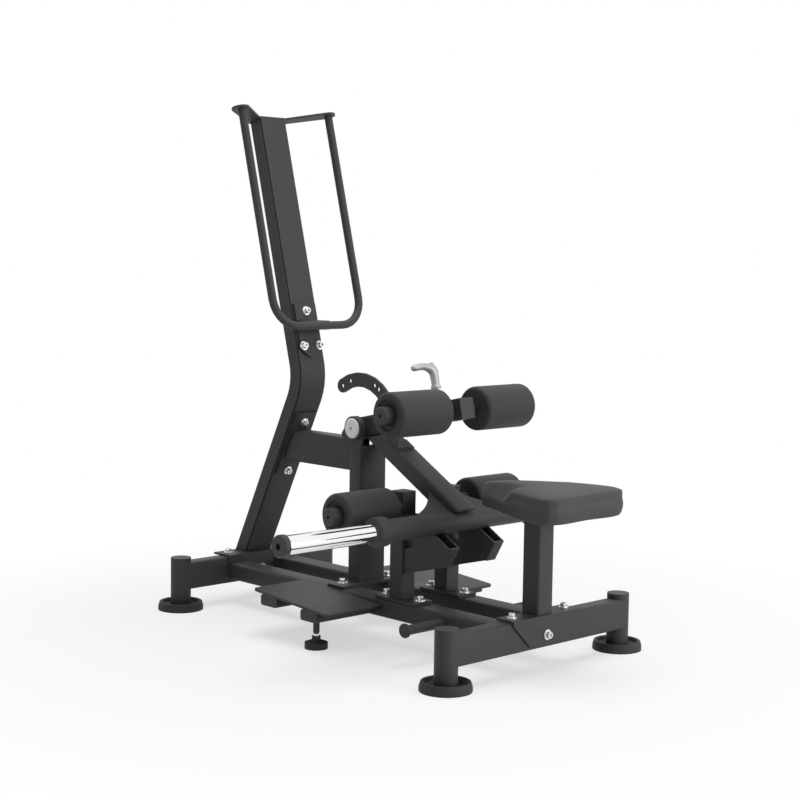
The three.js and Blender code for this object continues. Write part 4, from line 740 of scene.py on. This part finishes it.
# Screw heads, washers and hexagon sockets from one Geometry Nodes tree
def screw_tree():
    sizes = settings().screws
    tree = bpy.data.node_groups.new("socket screws", "GeometryNodeTree")
    input_socket(tree, "Geometry", "NodeSocketGeometry")
    for name, value in (
        ("Head radius", sizes.head_diameter / 2),
        ("Head height", sizes.head_height),
        ("Socket radius", sizes.socket_diameter / 2),
        ("Washer radius", sizes.washer_diameter / 2),
        ("Washer thickness", sizes.washer_thickness),
    ):
        input_socket(tree, name, "NodeSocketFloat", value)
    input_socket(tree, "Material", "NodeSocketMaterial")
    tree.interface.new_socket(name="Geometry", in_out="OUTPUT", socket_type="NodeSocketGeometry")
    source = add_node(tree, "NodeGroupInput")
    sink = add_node(tree, "NodeGroupOutput")

    def scaled(socket, share):
        node = add_node(tree, "ShaderNodeMath", {1: share}, operation="MULTIPLY")
        tree.links.new(socket, node.inputs[0])
        return node.outputs[0]

    def raised(geometry, height):
        shift = add_node(tree, "ShaderNodeCombineXYZ")
        move = add_node(tree, "GeometryNodeTransform")
        tree.links.new(height, shift.inputs["Z"])
        tree.links.new(geometry, move.inputs["Geometry"])
        tree.links.new(shift.outputs["Vector"], move.inputs["Translation"])
        return move.outputs["Geometry"]

    def cylinder(vertices, radius, depth):
        node = add_node(tree, "GeometryNodeMeshCylinder", {"Vertices": vertices}, fill_type="NGON")
        tree.links.new(radius, node.inputs["Radius"])
        tree.links.new(depth, node.inputs["Depth"])
        return node

    round_facets = 36
    chamfer_share = 0.12
    body_share = 1.0 - chamfer_share
    chamfer_top_share = 0.88
    socket_middle_share = 0.95
    socket_facets = 6
    head_radius = source.outputs["Head radius"]
    head_height = source.outputs["Head height"]
    thickness = source.outputs["Washer thickness"]
    washer = cylinder(round_facets, source.outputs["Washer radius"], thickness)
    washer_placed = raised(washer.outputs["Mesh"], scaled(thickness, 0.5))
    body_height = scaled(head_height, body_share)
    head = cylinder(round_facets, head_radius, body_height)
    chamfer = add_node(tree, "GeometryNodeExtrudeMesh", mode="FACES")
    shrink = add_node(
        tree, "GeometryNodeScaleElements", {"Scale": chamfer_top_share}, domain="FACE")
    tree.links.new(head.outputs["Mesh"], chamfer.inputs["Mesh"])
    tree.links.new(head.outputs["Top"], chamfer.inputs["Selection"])
    tree.links.new(scaled(head_height, chamfer_share), chamfer.inputs["Offset Scale"])
    tree.links.new(chamfer.outputs["Mesh"], shrink.inputs["Geometry"])
    tree.links.new(chamfer.outputs["Top"], shrink.inputs["Selection"])
    head_middle = combined(tree, "ADD", thickness, scaled(body_height, 0.5))
    head_placed = raised(shrink.outputs["Geometry"], head_middle)
    socket = cylinder(socket_facets, source.outputs["Socket radius"], head_height)
    socket_middle = combined(tree, "ADD", thickness, scaled(head_height, socket_middle_share))
    socket_placed = raised(socket.outputs["Mesh"], socket_middle)
    bored = add_node(tree, "GeometryNodeMeshBoolean", operation="DIFFERENCE")
    tree.links.new(head_placed, bored.inputs["Mesh 1"])
    tree.links.new(socket_placed, bored.inputs["Mesh 2"])
    joined = add_node(tree, "GeometryNodeJoinGeometry")
    tree.links.new(washer_placed, joined.inputs["Geometry"])
    tree.links.new(bored.outputs["Mesh"], joined.inputs["Geometry"])
    out = add_node(tree, "GeometryNodeInputNamedAttribute", {"Name": "out"}, data_type="FLOAT_VECTOR")
    align = add_node(tree, "FunctionNodeAlignRotationToVector", axis="Z")
    tree.links.new(out.outputs["Attribute"], align.inputs["Vector"])
    place = add_node(tree, "GeometryNodeInstanceOnPoints")
    tree.links.new(source.outputs["Geometry"], place.inputs["Points"])
    tree.links.new(joined.outputs["Geometry"], place.inputs["Instance"])
    tree.links.new(align.outputs["Rotation"], place.inputs["Rotation"])
    real = add_node(tree, "GeometryNodeRealizeInstances")
    paint = add_node(tree, "GeometryNodeSetMaterial")
    tree.links.new(place.outputs["Instances"], real.inputs["Geometry"])
    tree.links.new(real.outputs["Geometry"], paint.inputs["Geometry"])
    tree.links.new(source.outputs["Material"], paint.inputs["Material"])
    tree.links.new(paint.outputs["Geometry"], sink.inputs["Geometry"])
    return tree


# Screw places that the nodes do not give: shifts to the rear of the posts and the pivot, heights
# above the floor, and how far the front face stands before the front leg posts' middle
REAR_SADDLE_SHIFT = 5 * MM
FRONT_SADDLE_SHIFT = -4 * MM
CENTRE_POST_SHIFT = 5 * MM
REAR_FACE_HEIGHT = 97 * MM
FRONT_FACE_HEIGHT = 96 * MM
FRONT_FACE_GAP = 36 * MM

# Leaning faces with screws: dip or rise of the outward direction, and each screw's place across and up
BEAM_DIP = math.radians(26.1)
BEAM_SCREWS = ((0, 561 * MM), (0, 410 * MM))
BRACKET_RISE = math.radians(15)
BRACKET_SCREWS = ((0, 890 * MM), (30 * MM, 789 * MM), (-30 * MM, 789 * MM))


def leaning_forward(rise):
    """Unit vector towards the front, tipped up by rise, or down where it is below zero."""
    return Vector((0, -math.cos(rise), math.sin(rise)))


def screw_places():
    """Each screw's seat and outward direction, from the nodes that it holds."""
    sizes = settings().screws
    up = Vector((0, 0, 1))
    forward = Vector((0, -1, 0))
    front_line = middle("leg_post_front_left").y
    rear_line = middle("leg_post_rear_left").y
    saddle_top = high("column_saddle").z
    flange_top = high("rail_left").z + sizes.flange_thickness
    rail_x = middle("rail_right").x
    catch_line = middle("lower_roller_hub_left").y
    pivot_line = middle("pivot_shaft").y
    places = []
    for _, sign in SIDES:
        saddle_x = sign * sizes.saddle_reach
        flange_x = sign * rail_x
        places.append((Vector((saddle_x, rear_line + REAR_SADDLE_SHIFT, saddle_top)), up))
        places.append((Vector((saddle_x, front_line + FRONT_SADDLE_SHIFT, saddle_top)), up))
        places.append((Vector((flange_x, catch_line + sizes.catch_reach, flange_top)), up))
        places.append((Vector((flange_x, catch_line - sizes.catch_reach, flange_top)), up))
        places.append((Vector((flange_x, pivot_line + CENTRE_POST_SHIFT, flange_top)), up))
    places.append((Vector((0, low("column_saddle").y, REAR_FACE_HEIGHT)), forward))
    places.append((Vector((0, front_line - FRONT_FACE_GAP, FRONT_FACE_HEIGHT)), forward))
    places += screws_on_face("beam", leaning_forward(-BEAM_DIP), BEAM_SCREWS)
    places += screws_on_face("handle_bracket", leaning_forward(BRACKET_RISE), BRACKET_SCREWS)
    return places


def screws_on_face(node, outward, spots):
    return [(front_of(node, across, rise), outward) for across, rise in spots]


def front_of(node, across, rise):
    """Where a level line from the front meets the node."""
    work = bmesh.new()
    work.from_mesh(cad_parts[node].data)
    tree = BVHTree.FromBMesh(work)
    work.free()
    lead = 500 * MM
    start = Vector((across, low(node).y - lead, rise))
    hit = tree.ray_cast(start, Vector((0, 1, 0)))[0]
    if hit is None:
        raise RuntimeError(f"{node}: no front face at {across:.3f}, {rise:.3f}")
    return hit


def plain_mesh_by_nodes(name, points, directions, tree, material):
    """Runs the tree on a cloud of points and keeps the result as a plain mesh."""
    cloud = bpy.data.meshes.new(name + "_points")
    cloud.from_pydata([tuple(point) for point in points], [], [])
    out = cloud.attributes.new("out", "FLOAT_VECTOR", "POINT")
    flat = [channel for direction in directions for channel in direction]
    out.data.foreach_set("vector", flat)
    holder = bpy.data.objects.new(name, cloud)
    bpy.context.scene.collection.objects.link(holder)
    modifier = holder.modifiers.new("screws", "NODES")
    modifier.node_group = tree
    for item in tree.interface.items_tree:
        if item.item_type == "SOCKET" and item.in_out == "INPUT" and item.name == "Material":
            modifier[item.identifier] = material
    mesh = evaluated_mesh(holder, name)
    holder.modifiers.remove(modifier)
    bpy.data.objects.remove(holder)
    if not mesh.polygons:
        raise RuntimeError(f"{name}: the node tree made no faces")
    return mesh


def loft_mesh(name, stations, facets):
    """Closed skin over oval stations; each is (centre, across, up), with the half sizes in the vectors."""
    mesh = bpy.data.meshes.new(name)
    work = bmesh.new()
    rings = []
    for centre, across, upward in stations:
        ring = []
        for step in range(facets):
            angle = 2 * math.pi * step / facets
            ring.append(work.verts.new(centre + across * math.cos(angle) + upward * math.sin(angle)))
        rings.append(ring)
    for lower, upper in zip(rings, rings[1:]):
        for step in range(facets):
            after = (step + 1) % facets
            work.faces.new((lower[step], lower[after], upper[after], upper[step]))
    work.faces.new(rings[0])
    work.faces.new(rings[-1])
    bmesh.ops.recalc_face_normals(work, faces=work.faces)
    for face in work.faces:
        face.smooth = True
    work.to_mesh(mesh)
    work.free()
    return mesh


def join_meshes(name, meshes):
    work = bmesh.new()
    for mesh in meshes:
        work.from_mesh(mesh)
    joined = bpy.data.meshes.new(name)
    work.to_mesh(joined)
    work.free()
    return joined


# The clamp lever's cast arm, in mm and degrees: place sideways, place up, lean of its run,
# half height and half width
LEVER_STATIONS = (
    (0, 47, 0, 11, 11),
    (0, 60, 0, 11.5, 11.5),
    (-0.5, 74, 3, 12.6, 12),
    (-2.5, 84, 14, 14.4, 12.5),
    (-7, 91, 42, 15.2, 12.5),
    (-16, 95.5, 70, 12.8, 12),
    (-30, 98.5, 84, 10.4, 11.5),
    (-46, 99.5, 92, 9.4, 11.5),
    (-60, 98.5, 97, 9.3, 11.5),
    (-70, 97, 102, 9, 11),
    (-76, 95.6, 105, 7.5, 9),
    (-79.5, 94.7, 105, 4.6, 5.6),
    (-81, 94.3, 105, 1.6, 2),
)

# Turned pieces in mm, as radius and height above the yoke
LEVER_FOOT = ((0, 38), (13, 38), (14, 39), (14, 44), (12.5, 46), (10, 48), (0, 48))
LEVER_STUD = ((0, -8), (7, -8), (7, 42), (0, 42))
LEVER_SCREW = ((0, 98), (5.5, 98), (5.5, 108.4), (4.6, 109.2), (0, 109.2))

# A pivot cap's centre mark in mm, as radius and height above the cap
CAP_MARK = ((0, -0.5), (4.2, -0.5), (4.2, 0.5), (3.2, 0.9), (0, 0.9))


class HIPTHRUST_OT_clamp_lever(bpy.types.Operator):
    """Lofts the cast clamp lever: foot, neck, elbow and a flat paddle to the user's left"""
    bl_idname = "hip_thrust.clamp_lever"
    bl_label = "Clamp lever"

    def execute(self, context):
        sizes = settings().lever
        upward = Vector((0, math.sin(sizes.yoke_lean), math.cos(sizes.yoke_lean)))
        along = leaning_forward(sizes.yoke_lean)
        seat = middle("pivot_shaft") + along * sizes.place + upward * sizes.yoke_half_height
        seat.x = 0
        screw_seat = seat - Vector((sizes.screw_shift, 0, 0))
        arm_facets = 28
        turned_facets = 32
        parts = [loft_mesh("lever_arm", self.arm_stations(seat, along, upward), arm_facets)]
        for name, profile, centre in (
            ("lever_foot", LEVER_FOOT, seat),
            ("lever_stud", LEVER_STUD, seat),
            ("lever_screw", LEVER_SCREW, screw_seat),
        ):
            parts.append(lathe_mesh(name, profile_in_mm(profile), centre, upward, turned_facets))
        mesh = join_meshes("clamp_lever", parts)
        lever = mesh_piece("cast_clamp_lever", mesh, finish_named("cast aluminium"))
        keep_edges_sharp(lever)
        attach(lever, "clamp_lever")
        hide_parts("clamp_lever")
        return {"FINISHED"}

    def arm_stations(self, seat, along, upward):
        """Ovals of the cast arm, each as its centre and its two half widths."""
        sideways = Vector((1, 0, 0))
        stations = []
        for across, rise, lean, half_high, half_wide in LEVER_STATIONS:
            turn = math.radians(lean)
            square = sideways * math.cos(turn) + upward * math.sin(turn)
            centre = seat + sideways * across * MM + upward * rise * MM
            stations.append((centre, along * half_wide * MM, square * half_high * MM))
        return stations


class HIPTHRUST_OT_cap_marks(bpy.types.Operator):
    """Presses a small grey centre mark into each white pivot cap"""
    bl_idname = "hip_thrust.cap_marks"
    bl_label = "Cap centre marks"

    def execute(self, context):
        for side, sign in SIDES:
            cap = f"pivot_cap_{side}"
            centre = middle(cap)
            centre.x = high(cap).x if sign > 0 else low(cap).x
            outward = Vector((sign, 0, 0))
            mark_facets = 24
            mesh = lathe_mesh(f"mark_{side}", profile_in_mm(CAP_MARK), centre, outward, mark_facets)
            mark = mesh_piece(f"cap_mark_{side}", mesh, finish_named("grey mark"))
            keep_edges_sharp(mark)
            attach(mark, "frame")
        return {"FINISHED"}


class HIPTHRUST_OT_screws(bpy.types.Operator):
    """Puts socket screws with washers on the flanges, saddle plates, beam plate and handle bracket"""
    bl_idname = "hip_thrust.screws"
    bl_label = "Screws"

    def execute(self, context):
        places = screw_places()
        points = [seat for seat, _ in places]
        directions = [outward for _, outward in places]
        material = finish_named("zinc plate")
        mesh = plain_mesh_by_nodes("frame_screws", points, directions, screw_tree(), material)
        screws = mesh_piece("frame_screws", mesh, material)
        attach(screws, "frame")
        return {"FINISHED"}


class HIPTHRUST_OT_stage(bpy.types.Operator):
    """Sets the floor, the white surroundings, the lamps and the photograph's camera"""
    bl_idname = "hip_thrust.stage"
    bl_label = "Stage"

    def execute(self, context):
        stage = settings().stage
        self.make_floor(stage)
        self.make_world(stage)
        self.make_lamps(stage)
        self.make_camera(stage)
        context.scene.view_settings.view_transform = "Standard"
        return {"FINISHED"}

    def make_floor(self, stage):
        reach = stage.floor_reach
        mesh = bpy.data.meshes.new("floor")
        corners = [(-reach, -reach, 0), (reach, -reach, 0), (reach, reach, 0), (-reach, reach, 0)]
        mesh.from_pydata(corners, [], [(0, 1, 2, 3)])
        floor = mesh_piece("floor", mesh, self.floor_finish(stage))

    def floor_finish(self, stage):
        """Matt floor that the camera and shiny pieces see as plain white away from the machine."""
        material = bpy.data.materials.new("studio floor")
        material.use_nodes = True
        tree = material.node_tree
        tree.nodes.clear()
        output = add_node(tree, "ShaderNodeOutputMaterial")
        matt = add_node(tree, "ShaderNodeBsdfDiffuse", {"Color": rgba(stage.floor_colour)})
        white = add_node(tree, "ShaderNodeEmission", {"Color": WHITE, "Strength": 1.0})
        place = add_node(tree, "ShaderNodeTexCoord")
        distance = add_node(tree, "ShaderNodeVectorMath", operation="LENGTH")
        fade = add_node(tree, "ShaderNodeMapRange", {
            "From Min": stage.glow_start,
            "From Max": stage.glow_end,
            "To Min": stage.floor_glow,
            "To Max": 1.0,
        })
        tree.links.new(place.outputs["Object"], distance.inputs[0])
        tree.links.new(distance.outputs["Value"], fade.inputs["Value"])
        path = add_node(tree, "ShaderNodeLightPath")
        seen = combined(tree, "MAXIMUM", path.outputs["Is Camera Ray"], path.outputs["Is Glossy Ray"])
        amount = combined(tree, "MULTIPLY", fade.outputs["Result"], seen)
        mix = add_node(tree, "ShaderNodeMixShader")
        tree.links.new(amount, mix.inputs["Fac"])
        tree.links.new(matt.outputs["BSDF"], mix.inputs[1])
        tree.links.new(white.outputs["Emission"], mix.inputs[2])
        tree.links.new(mix.outputs["Shader"], output.inputs["Surface"])
        return material

    def make_world(self, stage):
        """Even light on the machine, with plain white where the surroundings are seen."""
        world = bpy.data.worlds.new("white studio")
        world.use_nodes = True
        tree = world.node_tree
        tree.nodes.clear()
        output = add_node(tree, "ShaderNodeOutputWorld")
        light = add_node(tree, "ShaderNodeBackground", {"Color": WHITE, "Strength": stage.ambient})
        white = add_node(tree, "ShaderNodeBackground", {"Color": WHITE, "Strength": 1.0})
        path = add_node(tree, "ShaderNodeLightPath")
        seen = combined(tree, "MAXIMUM", path.outputs["Is Camera Ray"], path.outputs["Is Glossy Ray"])
        seen_through = combined(tree, "MAXIMUM", seen, path.outputs["Is Transmission Ray"])
        mix = add_node(tree, "ShaderNodeMixShader")
        tree.links.new(seen_through, mix.inputs["Fac"])
        tree.links.new(light.outputs["Background"], mix.inputs[1])
        tree.links.new(white.outputs["Background"], mix.inputs[2])
        tree.links.new(mix.outputs["Shader"], output.inputs["Surface"])
        bpy.context.scene.world = world

    def make_lamps(self, stage):
        aim = Vector((0, 0, stage.aim_height))
        for name, place, size, power in (
            ("overhead softbox", stage.overhead_place, stage.overhead_size, stage.overhead_power),
            ("front softbox", stage.front_place, stage.front_size, stage.front_power),
        ):
            lamp = bpy.data.lights.new(name, "AREA")
            lamp.shape = "SQUARE"
            lamp.size = size
            lamp.energy = power
            holder = bpy.data.objects.new(name, lamp)
            holder.location = place
            holder.rotation_euler = (aim - Vector(place)).to_track_quat("-Z", "Y").to_euler()
            bpy.context.scene.collection.objects.link(holder)

    def make_camera(self, stage):
        yaw = stage.camera_yaw
        pitch = stage.camera_pitch
        roll = stage.camera_roll
        level_share = math.cos(pitch)
        ahead = Vector((math.sin(yaw) * level_share, math.cos(yaw) * level_share, -math.sin(pitch)))
        level = Vector((math.cos(yaw), -math.sin(yaw), 0))
        upright = level.cross(ahead)
        right = level * math.cos(roll) + upright * math.sin(roll)
        up = upright * math.cos(roll) - level * math.sin(roll)
        lens = bpy.data.cameras.new("photo camera")
        lens.lens = stage.lens
        lens.sensor_width = SENSOR_WIDTH
        lens.clip_start = 0.1
        lens.clip_end = 200.0
        camera = bpy.data.objects.new("photo camera", lens)
        turn = Matrix((right, up, -ahead)).transposed()
        camera.matrix_world = Matrix.Translation(Vector(stage.camera_place)) @ turn.to_4x4()
        bpy.context.scene.collection.objects.link(camera)
        bpy.context.scene.camera = camera


class HIPTHRUST_PT_panel(bpy.types.Panel):
    """Lists the pieces and their sizes"""
    bl_idname = "HIPTHRUST_PT_panel"
    bl_label = "Hip thrust machine"
    bl_space_type = "VIEW_3D"
    bl_region_type = "UI"
    bl_category = "Hip thrust"

    def draw(self, context):
        layout = self.layout
        for operator in OPERATORS:
            layout.operator(operator.bl_idname)
        for group in ("finish", "screws", "rollers", "pad", "lever", "stage"):
            box = layout.box()
            box.label(text=group.capitalize())
            values = getattr(context.scene.hip_thrust, group)
            for name in values.bl_rna.properties.keys():
                if name not in ("rna_type", "name"):
                    box.prop(values, name)


OPERATORS = (
    HIPTHRUST_OT_paint_frame,
    HIPTHRUST_OT_foam_rollers,
    HIPTHRUST_OT_saddle_pad,
    HIPTHRUST_OT_clamp_lever,
    HIPTHRUST_OT_cap_marks,
    HIPTHRUST_OT_screws,
    HIPTHRUST_OT_stage,
)
GROUPS = (
    FinishSettings,
    ScrewSettings,
    RollerSettings,
    PadSettings,
    LeverSettings,
    StageSettings,
    HipThrustSettings,
)
CLASSES = GROUPS + OPERATORS + (HIPTHRUST_PT_panel,)


def register():
    for each in CLASSES:
        bpy.utils.register_class(each)
    bpy.types.Scene.hip_thrust = PointerProperty(type=HipThrustSettings)


def unregister():
    del bpy.types.Scene.hip_thrust
    for each in reversed(CLASSES):
        bpy.utils.unregister_class(each)


def main():
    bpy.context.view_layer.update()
    register()
    bpy.ops.hip_thrust.paint_frame()
    bpy.ops.hip_thrust.foam_rollers()
    bpy.ops.hip_thrust.saddle_pad()
    bpy.ops.hip_thrust.clamp_lever()
    bpy.ops.hip_thrust.cap_marks()
    bpy.ops.hip_thrust.screws()
    bpy.ops.hip_thrust.stage()


if __name__ == "__main__":
    main()
